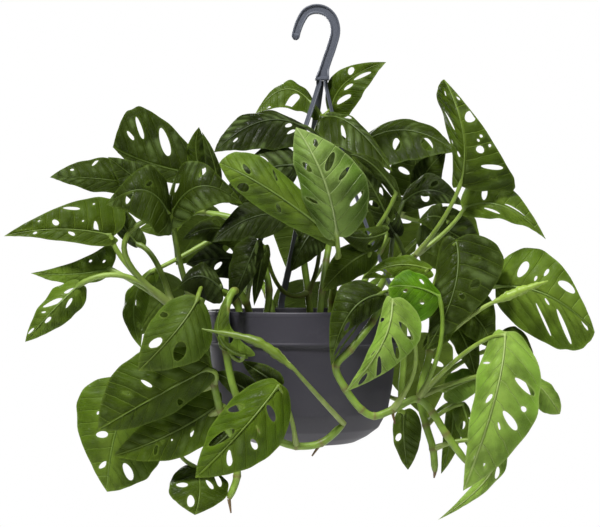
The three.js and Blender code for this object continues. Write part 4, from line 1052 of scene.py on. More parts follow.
@dataclass
class BladeCutter:
    """Cuts one blade with its smooth edge and holes, flat, and bends it to its surface.

    Lengths are in millimetres. The edge is as thick as the rim. The blade puckers between its side
    veins, most where it is as long as full_length, and sways at its edge.
    """

    leaf: Leaf
    phase: float
    seed: int
    spacing: float
    rim: float = 0.35
    body: float = 0.75
    rim_width: float = 1.5
    margin: float = 0.7
    pucker: float = 2.2
    full_length: float = 110.0
    sharpness: float = 0.7
    furrow: float = 0.6
    furrow_width: float = 2.2
    flat_rim: float = 4.0
    sway: float = 1.0
    sway_waves: float = 3.1
    sway_lag: float = 1.9
    sway_turn: float = 2.2
    rib_fade: float = 0.25
    edge_fade: float = 1.25
    least: float = 0.3
    jitter: float = 0.12
    clearance: float = 0.42
    rib_clearance: float = 0.45
    rib_points: int = 31
    pale_width: float = 1.7
    shades: Band = (0.93, 1.07)

    def __post_init__(self) -> None:
        """Lays out the surface and starts the random draws."""
        self.surface = BladeSurface(self.leaf, self.phase)
        self.random = np.random.default_rng(self.seed)

    def half_edge(self, side: int) -> Array:
        """Gives the smooth flat edge of the right half, 1, or the left, -1, from stalk to tip."""
        p, q = np.concatenate([[(0.0, 0.0)], self.surface.edge[side] * (1, side), [(1.0, 0.0)]]).T
        corners = np.stack([q * self.surface.side_reach(q), p * self.surface.length], axis=1)
        smooth = spline(corners, EDGE_STEPS)
        turn = np.arange(len(smooth)) / len(smooth)
        phases = self.random.uniform(0, 2 * np.pi, 2)
        waves = [size * np.sin(2 * np.pi * count * turn + p) for (count, size), p in zip(EDGE_WAVES, phases)]
        smooth[:, 0] = side * np.maximum(side * smooth[:, 0] * (1 + sum(waves) - EDGE_INSET), 0)
        return smooth

    def hole(self, slit: Slit) -> Array:
        """Gives the flat egg-shaped edge of a hole, clear of the midrib and the blade's edge."""
        p1, q1, p2, q2, width = slit
        side = 1 if q1 + q2 >= 0 else -1
        reach, length = self.surface.reach[side], self.surface.length
        run = np.array([(q2 - q1) * reach, (p2 - p1) * length])
        long = max(float(np.linalg.norm(run)), 0.1)
        across = np.array([-run[1], run[0]]) / long * width / 2
        corners = max(HOLE_CORNERS, int(long / HOLE_STEP) * 2)
        turn = np.linspace(0, 2 * np.pi, corners, endpoint=False)
        share = 0.5 - 0.5 * np.cos(turn)
        lean = np.sin(turn) * (EGG_START + EGG_GROWTH * share)
        ring = np.array([q1 * reach, p1 * length]) + run * share[:, None] + across * lean[:, None]
        p = np.clip(ring[:, 1] / length, *HOLE_RANGE)
        room = np.maximum(NEAR_EDGE * np.interp(p, *self.surface.edge[side].T), NEAR_RIB)
        q = side * np.clip(side * ring[:, 0] / reach, NEAR_RIB, room)
        return np.stack([q * reach, p * length], axis=1)

    def holes(self) -> list[Array]:
        """Gives the edges of all holes of the blade."""
        locate = self.surface.locate
        marks = [(*locate(*mark[:2]), *locate(*mark[2:4]), mark[4]) for mark in self.leaf.marks]
        return [self.hole(slit) for slit in (*self.leaf.slits, *marks)]

    def filling(self, edge: Array, holes: list[Array]) -> Array:
        """Scatters inner points in rows of triangles, clear of the edge, the holes and the midrib."""
        step = self.spacing
        low, high = edge.min(axis=0), edge.max(axis=0)
        rows = np.arange(low[1], high[1], step * ROW_HEIGHT)
        x, y = np.meshgrid(np.arange(low[0] - step, high[0] + step, step), rows)
        x = x + (np.arange(len(rows)) % 2)[:, None] * step / 2
        spots = np.stack([x.ravel(), y.ravel()], axis=1)
        spots = spots + self.random.uniform(-self.jitter, self.jitter, spots.shape) * step
        spots = spots[np.abs(spots[:, 0]) > self.rib_clearance * step]
        for number, ring in enumerate((edge, *holes)):
            spots = spots[inside(spots, ring) ^ (number > 0)]
            spots = spots[distance(spots, ring) > self.clearance * step]
        return spots

    def relief(self, p: Array, q: Array, rim: Array) -> Array:
        """Gives the rise of the blade between its side veins and its furrow along the midrib.

        Args:
            p: Shares of the midrib.
            q: Reaches.
            rim: Millimetres to the nearest edge.

        Returns:
            Rise in millimetres.
        """
        a = np.abs(q)
        beat = VEIN_PAIRS * (p - VEIN_SWEEP * a**VEIN_ARCH)
        fade = np.clip(a / self.rib_fade, 0, 1) * np.clip(self.edge_fade - a, self.least, 1)
        swell = np.abs(np.sin(np.pi * beat)) ** self.sharpness * fade
        size = self.pucker * min(1.0, self.surface.length / self.full_length)
        furrow = -self.furrow * np.exp(-((q * self.surface.reach[1] / self.furrow_width) ** 2))
        turn = 2 * np.pi * self.sway_waves * p + self.sway_lag * self.phase
        sway = np.sin(turn + self.sway_turn * np.sign(q)) * a**2
        flat = np.clip(rim / self.flat_rim, self.least, 1)
        return (size * (swell - 0.5) + furrow) * flat + self.sway * sway

    def cut(self) -> Shell:
        """Cuts the flat blade in triangles and bends it."""
        right, left = self.half_edge(1), self.half_edge(-1)
        edge = np.concatenate([right, left[-2:0:-1]])
        holes = self.holes()
        down = np.linspace(0, 1, self.rib_points)[1:-1] * self.surface.length
        rib = np.stack([0 * down, down], axis=1)
        loops = [edge, *holes]
        starts = np.cumsum([0] + [len(loop) for loop in loops])
        seams = [(s + i, s + (i + 1) % len(loop)) for s, loop in zip(starts, loops) for i in range(len(loop))]
        first = int(starts[-1])
        spine = [0, *range(first, first + len(rib)), len(right) - 1]
        seams += list(zip(spine, spine[1:]))
        spots = np.concatenate([*loops, rib, self.filling(edge, holes)])
        made = delaunay_2d_cdt([Vector(s) for s in spots], seams, [], 0, NO_GAP, False)
        points, faces = np.array([tuple(v) for v in made[0]]), np.array(made[2])
        centres = points[faces].mean(axis=1)
        keep = inside(centres, edge)
        for ring in holes:
            keep &= ~inside(centres, ring)
        faces = faces[keep]
        corners = points[faces]
        turn = np.cross(corners[:, 1] - corners[:, 0], corners[:, 2] - corners[:, 0])
        faces[turn < 0] = faces[turn < 0][:, ::-1]
        used, faces = np.unique(faces, return_inverse=True)
        return self.bend(points[used], faces.reshape(-1, 3), loops)

    def bend(self, points: Array, faces: Array, loops: list[Array]) -> Shell:
        """Bends the flat blade to its surface and gives it two faces and a rim.

        Args:
            points: Flat points.
            faces: Triangles of the upper face.
            loops: Edges of the blade and its holes.

        Returns:
            The closed blade.
        """
        surface, tone, count = self.surface, self.leaf.tone.value, len(points)
        rim = np.min([distance(points, loop) for loop in loops], axis=0)
        p, q = points[:, 1] / surface.length, points[:, 0] / surface.side_reach(points[:, 0])
        rise = self.relief(p, q, rim)
        half = self.rim / 2 + (self.body - self.rim) / 2 * (1 - np.exp(-rim / self.rim_width))
        sides = np.concatenate([faces[:, [0, 1]], faces[:, [1, 2]], faces[:, [2, 0]]])
        keys = {(int(a), int(b)) for a, b in sides}
        walls = [(a + count, b + count, b, a) for a, b in keys if (b, a) not in keys]
        # beside the midrib the tint runs to the centre colour: partly the leaf's own paler colour, partly
        # painted sheen
        nearness = np.exp(-((np.abs(q) * self.pale_width) ** 2))[:, None]
        shade = self.random.uniform(*self.shades)
        tint = linear(tone.blade) * (1 - nearness) + linear(tone.centre) * nearness
        return Shell(
            points=np.concatenate([surface.point(p, q, rise + half), surface.point(p, q, rise - half)]),
            polygons=faces.tolist() + (faces[:, ::-1] + count).tolist() + walls,
            uv=np.tile(np.stack([p, 0.5 + 0.5 * q], axis=1), (2, 1)),
            tint=np.tile(tint * [shade, shade, shade, 1], (2, 1)),
            rib_tint=np.tile(linear(tone.rib), (2 * count, 1)),
            rim=np.tile(np.exp(-rim / self.margin), 2),
            under=np.repeat([0.0, 1.0], count),
        )


# ---- geometry nodes


class TreeSheet(NodeSheet):
    """A Geometry Nodes tree with named inputs."""

    def __init__(self, name: str, **inputs: str) -> None:
        """Starts the tree with inputs after the geometry, given as the type of each by its name."""
        super().__init__(bpy.data.node_groups.new(name, "GeometryNodeTree"), "GeometryNode")
        self.take(Geometry="Geometry", **inputs)

    def named(self, name: str, kind: str) -> Socket:
        """Gives the socket of a named attribute."""
        return self.node("InputNamedAttribute", {"Name": name}, data_type=kind).outputs["Attribute"]

    def join(self, *parts: Socket) -> Socket:
        """Joins pieces of geometry."""
        joined = self.node("JoinGeometry")
        for part in parts:
            self.feed(part, joined.inputs[0])
        return joined.outputs[0]

    def finish(self, geometry: Socket, materials: dict[str, Socket | None]) -> Tree:
        """Ends the tree: instances made real, then each material set.

        Args:
            geometry: The joined geometry.
            materials: Selection by the name of the material's input.

        Returns:
            The tree.
        """
        geometry = self.node("RealizeInstances", {0: geometry}).outputs[0]
        for title, selection in materials.items():
            inputs = {"Geometry": geometry, "Material": self.entry[title]}
            if selection:
                inputs["Selection"] = selection
            geometry = self.node("SetMaterial", inputs).outputs[0]
        return self.deliver("Geometry", Geometry=geometry)


def baked(piece: Piece, modifier: bpy.types.Modifier) -> Piece:
    """Turns the result of a piece's modifier into its plain mesh."""
    graph = bpy.context.evaluated_depsgraph_get()
    mesh = bpy.data.meshes.new_from_object(piece.evaluated_get(graph), depsgraph=graph)
    piece.modifiers.remove(modifier)
    piece.data = mesh
    mesh.name = piece.name
    return piece


def run_tree(piece: Piece, tree: Tree, values: dict[str, object]) -> Piece:
    """Runs a Geometry Nodes tree on a piece and keeps the result as a plain mesh.

    Args:
        piece: The piece, with its source mesh.
        tree: The tree.
        values: Modifier value by input name.

    Returns:
        The same piece with the new mesh and no modifier.
    """
    modifier = piece.modifiers.new("shape", "NODES")
    modifier.node_group = tree
    for item in tree.interface.items_tree:
        if item.in_out == "INPUT" and item.name in values:
            modifier[item.identifier] = values[item.name]
    return baked(piece, modifier)


def stem_tree() -> Tree:
    """Builds the tree that turns strands into round stalks and keeps the blades."""
    sheet = TreeSheet("leafy_stem", Sides="Int", Blade="Material", Stalk="Material")
    strands = {"Geometry": sheet.entry["Geometry"], "Selection": sheet.named("is_strand", "BOOLEAN")}
    parts = sheet.node("SeparateGeometry", strands, domain="POINT").outputs
    ring = sheet.node("CurvePrimitiveCircle", {"Resolution": sheet.entry["Sides"], "Radius": 1.0})
    tubes = {
        "Curve": sheet.node("MeshToCurve", {"Mesh": parts["Selection"]}).outputs[0],
        "Profile Curve": ring.outputs["Curve"],
        "Scale": sheet.named("thick", "FLOAT"),
        "Fill Caps": True,
    }
    joined = sheet.join(sheet.node("CurveToMesh", tubes).outputs[0], parts["Inverted"])
    return sheet.finish(joined, {"Stalk": None, "Blade": sheet.named("is_blade", "BOOLEAN")})


def mesh_of(name: str, points: Array, faces: list, edges: list | tuple = ()) -> Mesh:
    """Makes a mesh from points in metres, faces and loose edges."""
    mesh = bpy.data.meshes.new(name)
    mesh.from_pydata(np.asarray(points, float).tolist(), edges, faces)
    return mesh


def new_piece(name: str, data: bpy.types.ID) -> Piece:
    """Puts a mesh, a light or a camera in the scene as an object at the origin."""
    piece = bpy.data.objects.new(name, data)
    bpy.context.scene.collection.objects.link(piece)
    return piece


def smooth(piece: Piece, degrees: float) -> Piece:
    """Shades a piece smooth, with edges sharper than an angle kept crisp."""
    piece.data.shade_smooth()
    piece.data.set_sharp_from_angle(angle=math.radians(degrees))
    return piece


# ---- leafy stems


@dataclass
class Strand:
    """A line of points in metres that becomes a stalk, with its radii in millimetres and its colours."""

    points: Array
    radii: Array
    tint: Array


@dataclass
class LeafyStem:
    """One stem with its stalks, blades, rolled leaves and roots, in one mesh.

    Radii and the spacing of a blade's points are in millimetres, and widths along a stem or stalk are
    shares of its length. A stem swells at its nodes, and a stalk in its sheath and at its knee.
    """

    plan: StemPlan
    seed: int
    spacing: float
    sides: int = 10
    crease: float = 50.0
    stem_radius: float = 3.5
    stem_steps: int = 10
    node_width: float = 0.09
    node_swelling: float = 0.17
    node_tint: float = 0.75
    tip_shrink: Band = (0.9, 0.75, 0.5)
    phase_step: float = 1.7
    stalk_taper: float = 0.18
    sheath: Band = (0.0, 0.12, 1.1)
    knee: Band = (0.93, 0.06, 0.35)
    joint: float = 0.04
    rib_radius: float = 1.15
    rib_range: Band = (0.08, 0.97)
    rib_depth: float = 0.25
    rib_sink: float = 0.5
    rib_thinning: Band = (0.85, 0.8)
    rib_points: int = 18
    stalk_steps: int = 14
    colour_run: float = 0.05
    roll_steps: int = 14
    roll_turn: Band = (2.4, 6.0)
    roll_edge_radius: float = 0.5
    roll_edge_reach: float = 0.93
    roll_edge_cut: int = 2
    roll_stalk_steps: int = 12
    roll_stalk_growth: float = 1.2
    roll_greening: float = 0.4
    root_radii: Band = (1.9, 0.7)
    root_steps: int = 8
    shells: list[Shell] = field(default_factory=list)
    strands: list[Strand] = field(default_factory=list)

    # The waves of a roll's thickness: the depth, and two rates along it.
    ROLL_WAVES = (0.2, 41, 17)
    SEEDS_OF_A_STEM = 100
    STEM_GREEN = (128, 158, 56)
    NODE_BROWN = (118, 98, 60)
    SHEATH = (150, 166, 92)
    ROOT_BROWN = (116, 90, 62)
    ROLL_RADII = (1.8, 3.6, 4.6, 4.4, 3.4, 2.2, 0.8)

    def add_strand(self, points: Array, radii: Array, colours: dict[float, RGB]) -> None:
        """Adds a strand.

        Args:
            points: Points in metres.
            radii: Radius at each point in millimetres.
            colours: Screen colour by share of the length.
        """
        along, lit = np.linspace(0, 1, len(points)), np.array([linear(c) for c in colours.values()])
        tint = np.stack([np.interp(along, list(colours), lit[:, k]) for k in range(4)], axis=1)
        self.strands.append(Strand(points, radii, tint))

    def add_stem(self) -> None:
        """Adds the stem, swollen and brown at each node."""
        points = spline([at(spot) for spot in self.plan.path], self.stem_steps)
        turn = np.arange(len(points)) / self.stem_steps
        nearness = np.exp(-(((turn - np.round(turn)) / self.node_width) ** 2))
        radii = self.stem_radius * (1 + self.node_swelling * nearness)
        radii[-len(self.tip_shrink):] *= self.tip_shrink
        share = self.node_tint * nearness[:, None]
        tint = linear(self.STEM_GREEN) * (1 - share) + linear(self.NODE_BROWN) * share
        self.strands.append(Strand(points, radii, tint))

    def add_leaf(self, leaf: Leaf, number: int) -> None:
        """Adds the blade of a numbered leaf, its stalk and the midrib that the stalk runs into."""
        seed = self.seed * self.SEEDS_OF_A_STEM + number
        cutter = BladeCutter(leaf, self.phase_step * number, seed, self.spacing)
        self.shells.append(cutter.cut())
        surface, tone = cutter.surface, leaf.tone.value
        joint = surface.rib(np.array(self.joint))
        stalk = arc(at(self.plan.path[leaf.source]), at(leaf.via), joint, self.stalk_steps)
        p = np.linspace(*self.rib_range, self.rib_points)
        depth = -self.rib_depth - self.rib_sink * self.rib_radius * (1 - p)
        midrib = surface.point(p, np.zeros_like(p), depth)
        share = np.linspace(0, 1, len(stalk))
        radii = self.plan.stalk_radius * (1 - self.stalk_taper * share)
        for centre, width, swelling in (self.sheath, self.knee):
            radii = radii + swelling * np.exp(-(((share - centre) / width) ** 2))
        loss, power = self.rib_thinning
        thin = self.rib_radius * (1 - loss * p**power)
        end = len(stalk) / (len(stalk) + len(p))
        colours = {0: self.SHEATH, self.sheath[1]: tone.stalk, end - self.colour_run: tone.stalk}
        colours |= {end: tone.rib, 1: tone.rib}
        self.add_strand(np.concatenate([stalk, midrib]), np.concatenate([radii, thin]), colours)

    def add_roll(self, roll: Roll) -> None:
        """Adds a rolled young leaf on its stalk, with the free edge winding round it."""
        body = spline([at(spot) for spot in roll.path], self.roll_steps)
        along = np.linspace(0, 1, len(body))
        radii = np.interp(along, np.linspace(0, 1, len(self.ROLL_RADII)), self.ROLL_RADII)
        depth, fast, slow = self.ROLL_WAVES
        radii = radii * (1 + depth * np.sin(fast * along) * np.sin(slow * along))
        stalk = arc(at(self.plan.path[roll.source]), at(roll.via), body[0], self.roll_stalk_steps)[:-1]
        widest = self.plan.stalk_radius * self.roll_stalk_growth
        thick = np.linspace(widest, self.ROLL_RADII[0], len(stalk) + 1)[:-1]
        greens = {0: self.SHEATH, self.roll_greening: roll.green, 1: roll.green}
        self.add_strand(np.concatenate([stalk, body]), np.concatenate([thick, radii]), greens)
        ahead = unit(np.gradient(body, axis=0))
        side = unit(np.cross(ahead, (0.0, 1.0, 0.0)))
        turn = np.linspace(*self.roll_turn, len(body))[:, None]
        out = side * np.cos(turn) + np.cross(ahead, side) * np.sin(turn)
        edge = body + out * (radii * self.roll_edge_reach * MM)[:, None]
        edge = edge[self.roll_edge_cut:-self.roll_edge_cut]
        self.add_strand(edge, np.full(len(edge), self.roll_edge_radius), {0: self.SHEATH, 1: self.SHEATH})

    def add_root(self, source: int, tip: Spot) -> None:
        """Adds an aerial root from a numbered path spot to its tip."""
        start, end = at(self.plan.path[source]), at(tip)
        colours = {0: self.NODE_BROWN, 1: self.ROOT_BROWN}
        points = arc(start, (start + end) / 2, end, self.root_steps)
        self.add_strand(points, np.linspace(*self.root_radii, len(points)), colours)

    def mesh(self) -> Mesh:
        """Joins blades and strands in one source mesh, with their values as attributes."""
        parts = [*self.shells, *self.strands]
        faces, edges, start = [], [], 0
        for part in parts:
            count = len(part.points)
            if isinstance(part, Shell):
                faces += [tuple(start + corner for corner in polygon) for polygon in part.polygons]
            else:
                edges += [(start + i, start + i + 1) for i in range(count - 1)]
            start += count
        mesh = mesh_of(self.plan.name + "_source", np.concatenate([s.points for s in parts]), faces, edges)
        bare = sum(len(s.points) for s in self.strands)

        def store(name: str, kind: str, values: Array | list, domain: str = "POINT") -> None:
            """Writes one attribute, filled up with zeros."""
            layer = mesh.attributes.new(name, kind, domain).data
            size, title = (4, "color") if kind == "FLOAT_COLOR" else (1, "value")
            whole = np.zeros(len(layer) * size, bool if kind == "BOOLEAN" else float)
            flat = np.concatenate([np.ravel(v) for v in values])
            whole[:len(flat)] = flat
            layer.foreach_set(title, whole)

        blades = start - bare
        store("tint", "FLOAT_COLOR", [s.tint for s in parts])
        store("rib_tint", "FLOAT_COLOR", [*(s.rib_tint for s in self.shells), np.ones(4 * bare)])
        store("rim", "FLOAT", [s.rim for s in self.shells])
        store("under", "FLOAT", [s.under for s in self.shells])
        store("thick", "FLOAT", [np.zeros(blades), *(s.radii * MM for s in self.strands)])
        store("is_strand", "BOOLEAN", [np.arange(start) >= blades])
        store("is_blade", "BOOLEAN", [np.ones(len(faces), bool)], "FACE")
        corners = np.zeros(len(mesh.loops), int)
        mesh.loops.foreach_get("vertex_index", corners)
        uv = np.concatenate([s.uv for s in self.shells])
        mesh.uv_layers.new(name="blade").data.foreach_set("uv", uv[corners].ravel())
        return mesh

    def build(self, tree: Tree, shop: FinishShop) -> Piece:
        """Builds the stem as one finished piece with the leafy stem tree and the materials."""
        self.add_stem()
        for number, leaf in enumerate(self.plan.leaves):
            self.add_leaf(leaf, number)
        for roll in self.plan.rolls:
            self.add_roll(roll)
        for source, tip in self.plan.roots:
            self.add_root(source, tip)
        piece = new_piece(self.plan.name + "_grown", self.mesh())
        run_tree(piece, tree, {"Sides": self.sides, "Blade": shop.blade, "Stalk": shop.stalk})
        return smooth(piece, self.crease)


# ---- swept and turned pieces


def tube_faces(count: int, size: int, capped: bool = True) -> list:
    """Joins rings of points in a tube.

    Args:
        count: Number of rings.
        size: Points of a ring.
        capped: Whether a face closes each end.

    Returns:
        The faces.
    """
    faces = []
    for start in range(0, (count - 1) * size, size):
        for i in range(size):
            j = (i + 1) % size
            faces.append((start + i, start + j, start + size + j, start + size + i))
    last = (count - 1) * size
    return faces + [tuple(range(size))[::-1], tuple(range(last, last + size))] if capped else faces


def loft(name: str, rings: list) -> Mesh:
    """Makes the mesh of a closed tube from rings of points in millimetres."""
    points = np.array(rings, float)
    return mesh_of(name, points.reshape(-1, 3) * MM, tube_faces(*points.shape[:2]))


def lathe(name: str, profile: Array, centre_x: float, segments: int) -> Mesh:
    """Turns a profile that starts and ends on the axis.

    Args:
        name: Name of the mesh.
        profile: Radius and height in millimetres, from the axis and back to it.
        centre_x: Where the axis stands, in millimetres.
        segments: Segments of the turn.

    Returns:
        The closed mesh, with its normals outward.
    """
    turn = np.linspace(0, 2 * np.pi, segments, endpoint=False)
    radius, height = profile[1:-1, 0, None], profile[1:-1, 1, None]
    rings = np.stack([radius * np.cos(turn) + centre_x, radius * np.sin(turn), height + 0 * turn], axis=-1)
    poles = np.array([[centre_x, 0, profile[0, 1]], [centre_x, 0, profile[-1, 1]]])
    count = len(radius)
    low, high, last = count * segments, count * segments + 1, (count - 1) * segments
    faces = tube_faces(count, segments, capped=False)
    faces += [(low, (i + 1) % segments, i) for i in range(segments)]
    faces += [(high, last + i, last + (i + 1) % segments) for i in range(segments)]
    mesh = mesh_of(name, np.concatenate([rings.reshape(-1, 3), poles]) * MM, faces)
    mesh.validate()
    return mesh


def rounded(corners: list[tuple[float, float]], radius: float, steps: int = 4) -> Array:
    """Rounds the inner corners of an open line.

    Args:
        corners: Points of the line.
        radius: Length that each corner may lose on both sides.
        steps: Points of each rounding.

    Returns:
        The rounded line.
    """
    points = [np.array(c, float) for c in corners]
    made = [points[0]]
    for before, here, after in zip(points, points[1:], points[2:]):
        back, ahead = before - here, after - here
        cut = min(radius, 0.45 * np.linalg.norm(back), 0.45 * np.linalg.norm(ahead))
        start, end = here + unit(back) * cut, here + unit(ahead) * cut
        made += list(bow(start, here, end, np.linspace(0, 1, steps)[:, None]))
    return np.array([*made, points[-1]])


# ---- pot and soil


@dataclass
class NurseryPot:
    """The moulded hanging pot, in millimetres.

    Its lines are rows of how far the wall has drawn in and the height above the collar's lower edge.
    """

    x: float = -12.0
    rim_z: float = -296.0
    collar_radius: float = 97.0
    collar_height: float = 32.0
    wall_radius: float = 94.0
    wall: float = 2.2
    base_radius: float = 52.0
    base_z: float = -427.0
    foot_height: float = 3.0
    foot_width: float = 9.0
    rounding: float = 1.4
    crease: float = 40.0
    segments: int = 144
    drain_radius: float = 4.5
    drain_circle: float = 30.0
    drain_count: int = 4
    drain_segments: int = 24
    drain_cut: float = 10.0

    INNER = ((5, -45), (11, -68), (18, -82))
    BELLY = ((30, -93), (18.5, -84.5), (9.5, -68), (5, -45), (0.9, -3), (-0.2, 0.6))
    COLLAR = ((0, 0.2), (0, 2), (0.3, 2.8), (0.2, 27), (0, 27.6), (0, 32))

    def drawn(self, radius: float, line: tuple) -> list[tuple[float, float]]:
        """Gives the radius and height of each point of a line that draws in from a radius."""
        low = self.rim_z - self.collar_height
        return [(radius - inward, low + up) for inward, up in line]

    def inside(self) -> list[tuple[float, float]]:
        """Gives the inner wall from the rim down."""
        return [
            (self.collar_radius - 2 * self.wall, self.rim_z),
            *self.drawn(self.wall_radius - self.wall, self.INNER),
            (self.base_radius - self.wall, self.base_z + self.foot_height + self.wall),
        ]

    def profile(self) -> Array:
        """Gives the section of the pot, with the groove below the collar and its rounded lip."""
        floor_z, foot = self.base_z + self.foot_height, self.base_radius - self.foot_width
        corners = [
            (0, floor_z), (foot - 1, floor_z), (foot, self.base_z), (self.base_radius, self.base_z),
            *self.drawn(self.wall_radius, self.BELLY),
            *self.drawn(self.collar_radius, self.COLLAR),
            *self.inside(),
            (0, floor_z + self.wall),
        ]
        return rounded(corners, self.rounding)

    def drill(self, piece: Piece) -> None:
        """Cuts the drain holes in the pot."""
        turn = np.linspace(0, 2 * np.pi, self.drain_segments, endpoint=False)
        points, faces = [], []
        for angle in np.arange(self.drain_count) * 2 * math.pi / self.drain_count:
            x = self.x + self.drain_circle * math.cos(angle) + self.drain_radius * np.cos(turn)
            y = self.drain_circle * math.sin(angle) + self.drain_radius * np.sin(turn)
            faces += [tuple(len(points) + c for c in face) for face in tube_faces(2, len(turn))]
            ends = self.base_z - self.drain_cut, self.base_z + self.drain_cut
            points += [p for z in ends for p in zip(x, y, z + 0 * x)]
        cutter = new_piece("drain_cutter", mesh_of("drain_cutter", np.array(points) * MM, faces))
        modifier = piece.modifiers.new("drains", "BOOLEAN")
        modifier.object, modifier.operation, modifier.solver = cutter, "DIFFERENCE", "EXACT"
        baked(piece, modifier)
        bpy.data.objects.remove(cutter)

    def build(self, shop: FinishShop) -> Piece:
        """Turns the pot, drills its drain holes and dresses it."""
        piece = new_piece("moulded_pot", lathe("pot_body", self.profile(), self.x, self.segments))
        self.drill(piece)
        piece.data.materials.clear()
        piece.data.materials.append(shop.pot)
        return smooth(piece, self.crease)


@dataclass
class PottingSoil:
    """The domed potting mix with bark chips on it, in millimetres, but for the chips in metres."""

    pot: NurseryPot
    top_z: float = -303.0
    dome: float = 4.0
    dome_power: float = 2.5
    dip: float = 2.0
    gap: float = 0.35
    lumps: float = 0.65
    top_depth: float = 2.5
    wall_clearance: float = 1.0
    rings: int = 34
    segments: int = 120
    chips_per_square_metre: float = 24000.0
    chip_size: float = 0.0042
    seed: int = 5
    crease: float = 40.0

    # The smallest and largest share of a chip's sizes, and its turns.
    CHIP_SIZES = ((0.25, 0.2, 0.14), (1.0, 0.7, 0.4))
    CHIP_TURNS = ((-0.5, -0.5, 0.0), (0.5, 0.5, 6.28))

    def mesh(self) -> Mesh:
        """Gives the body of the soil with a lumpy top, marked where the chips lie."""
        side = [(r - self.gap, z + self.gap) for r, z in self.pot.inside()[1:]]
        (r0, z0), (r1, z1) = self.pot.inside()[:2]
        low = self.top_z - self.dip
        edge = r0 + (r1 - r0) * (low - z0) / (z1 - z0) - self.gap
        shares = np.linspace(0, 1, self.rings + 1)
        top = [(edge * s, low + (self.dome + self.dip) * (1 - s**self.dome_power)) for s in shares]
        profile = np.array([*top, *side, (0, side[-1][1])])
        mesh = lathe("soil_body", profile[::-1], self.pot.x, self.segments)
        points = np.zeros(len(mesh.vertices) * 3)
        mesh.vertices.foreach_get("co", points)
        points = points.reshape(-1, 3)
        x, y, z = points.T / MM
        inner = np.hypot(x - self.pot.x, y) < edge - self.wall_clearance
        on_top = (z > self.top_z - self.top_depth) & inner
        points[:, 2] += np.where(on_top, MM * self.lumps * (self.uneven(x, y) - 1), 0)
        mesh.vertices.foreach_set("co", points.ravel())
        mesh.attributes.new("chips", "FLOAT", "POINT").data.foreach_set("value", on_top.astype(float))
        return mesh

    @staticmethod
    def uneven(x: Array, y: Array) -> Array:
        """Gives a rise that changes unevenly over the top, from broad and from small lumps."""
        broad = np.sin(0.71 * x + 1.3 * np.sin(0.37 * y)) * np.sin(0.63 * y + 1.1 * np.sin(0.43 * x))
        return broad + 0.6 * np.sin(1.7 * x + 0.8 * y) * np.sin(1.3 * y - 0.9 * x)

    def tree(self) -> Tree:
        """Builds the tree that scatters bark chips on the soil."""
        kinds = {"Density": "Float", "Chip": "Float", "Seed": "Int", "Soil": "Material", "Bark": "Material"}
        sheet = TreeSheet("bark_scatter", **kinds)
        entry = sheet.entry
        density = sheet.times(sheet.named("chips", "FLOAT"), entry["Density"])
        scattered = {"Mesh": entry["Geometry"], "Density": density, "Seed": entry["Seed"]}

        def drawn(low: Spot, high: Spot, seed: int) -> Socket:
            """Gives a random vector between two."""
            inputs = {0: low, 1: high, "Seed": seed}
            return sheet.node("FunctionNodeRandomValue", inputs, data_type="FLOAT_VECTOR").outputs[0]

        size = {0: drawn(*self.CHIP_SIZES, 3), "Scale": entry["Chip"]}
        chips = {
            "Points": sheet.node("DistributePointsOnFaces", scattered).outputs["Points"],
            "Instance": sheet.node("MeshIcoSphere", {"Radius": 0.5, "Subdivisions": 2}).outputs["Mesh"],
            "Rotation": drawn(*self.CHIP_TURNS, 4),
            "Scale": sheet.node("ShaderNodeVectorMath", size, operation="SCALE").outputs[0],
        }
        placed = sheet.node("InstanceOnPoints", chips).outputs[0]
        real = sheet.node("RealizeInstances", {0: placed}).outputs[0]
        mark = {"Geometry": real, "Name": "is_chip", "Value": True}
        marked = sheet.node("StoreNamedAttribute", mark, data_type="BOOLEAN", domain="FACE").outputs[0]
        joined = sheet.join(marked, entry["Geometry"])
        return sheet.finish(joined, {"Soil": None, "Bark": sheet.named("is_chip", "BOOLEAN")})

    def build(self, shop: FinishShop) -> Piece:
        """Builds the soil with its chips."""
        piece = new_piece("potting_soil", self.mesh())
        values = {"Density": self.chips_per_square_metre, "Chip": self.chip_size, "Seed": self.seed}
        run_tree(piece, self.tree(), {**values, "Soil": shop.soil, "Bark": shop.bark})
        return smooth(piece, self.crease)


# ---- hanger


def outward(piece: Piece) -> Piece:
    """Turns all faces of a closed piece outward."""
    sheet = bmesh.new()
    sheet.from_mesh(piece.data)
    bmesh.ops.remove_doubles(sheet, verts=sheet.verts, dist=NO_LENGTH)
    bmesh.ops.recalc_face_normals(sheet, faces=sheet.faces)
    sheet.to_mesh(piece.data)
    sheet.free()
    return piece


def sideways(line: Array) -> Array:
    """Gives the directions square to a flat line, at each of its points."""
    run = unit(np.gradient(line, axis=0))
    return np.stack([-run[:, 1], run[:, 0]], axis=1)


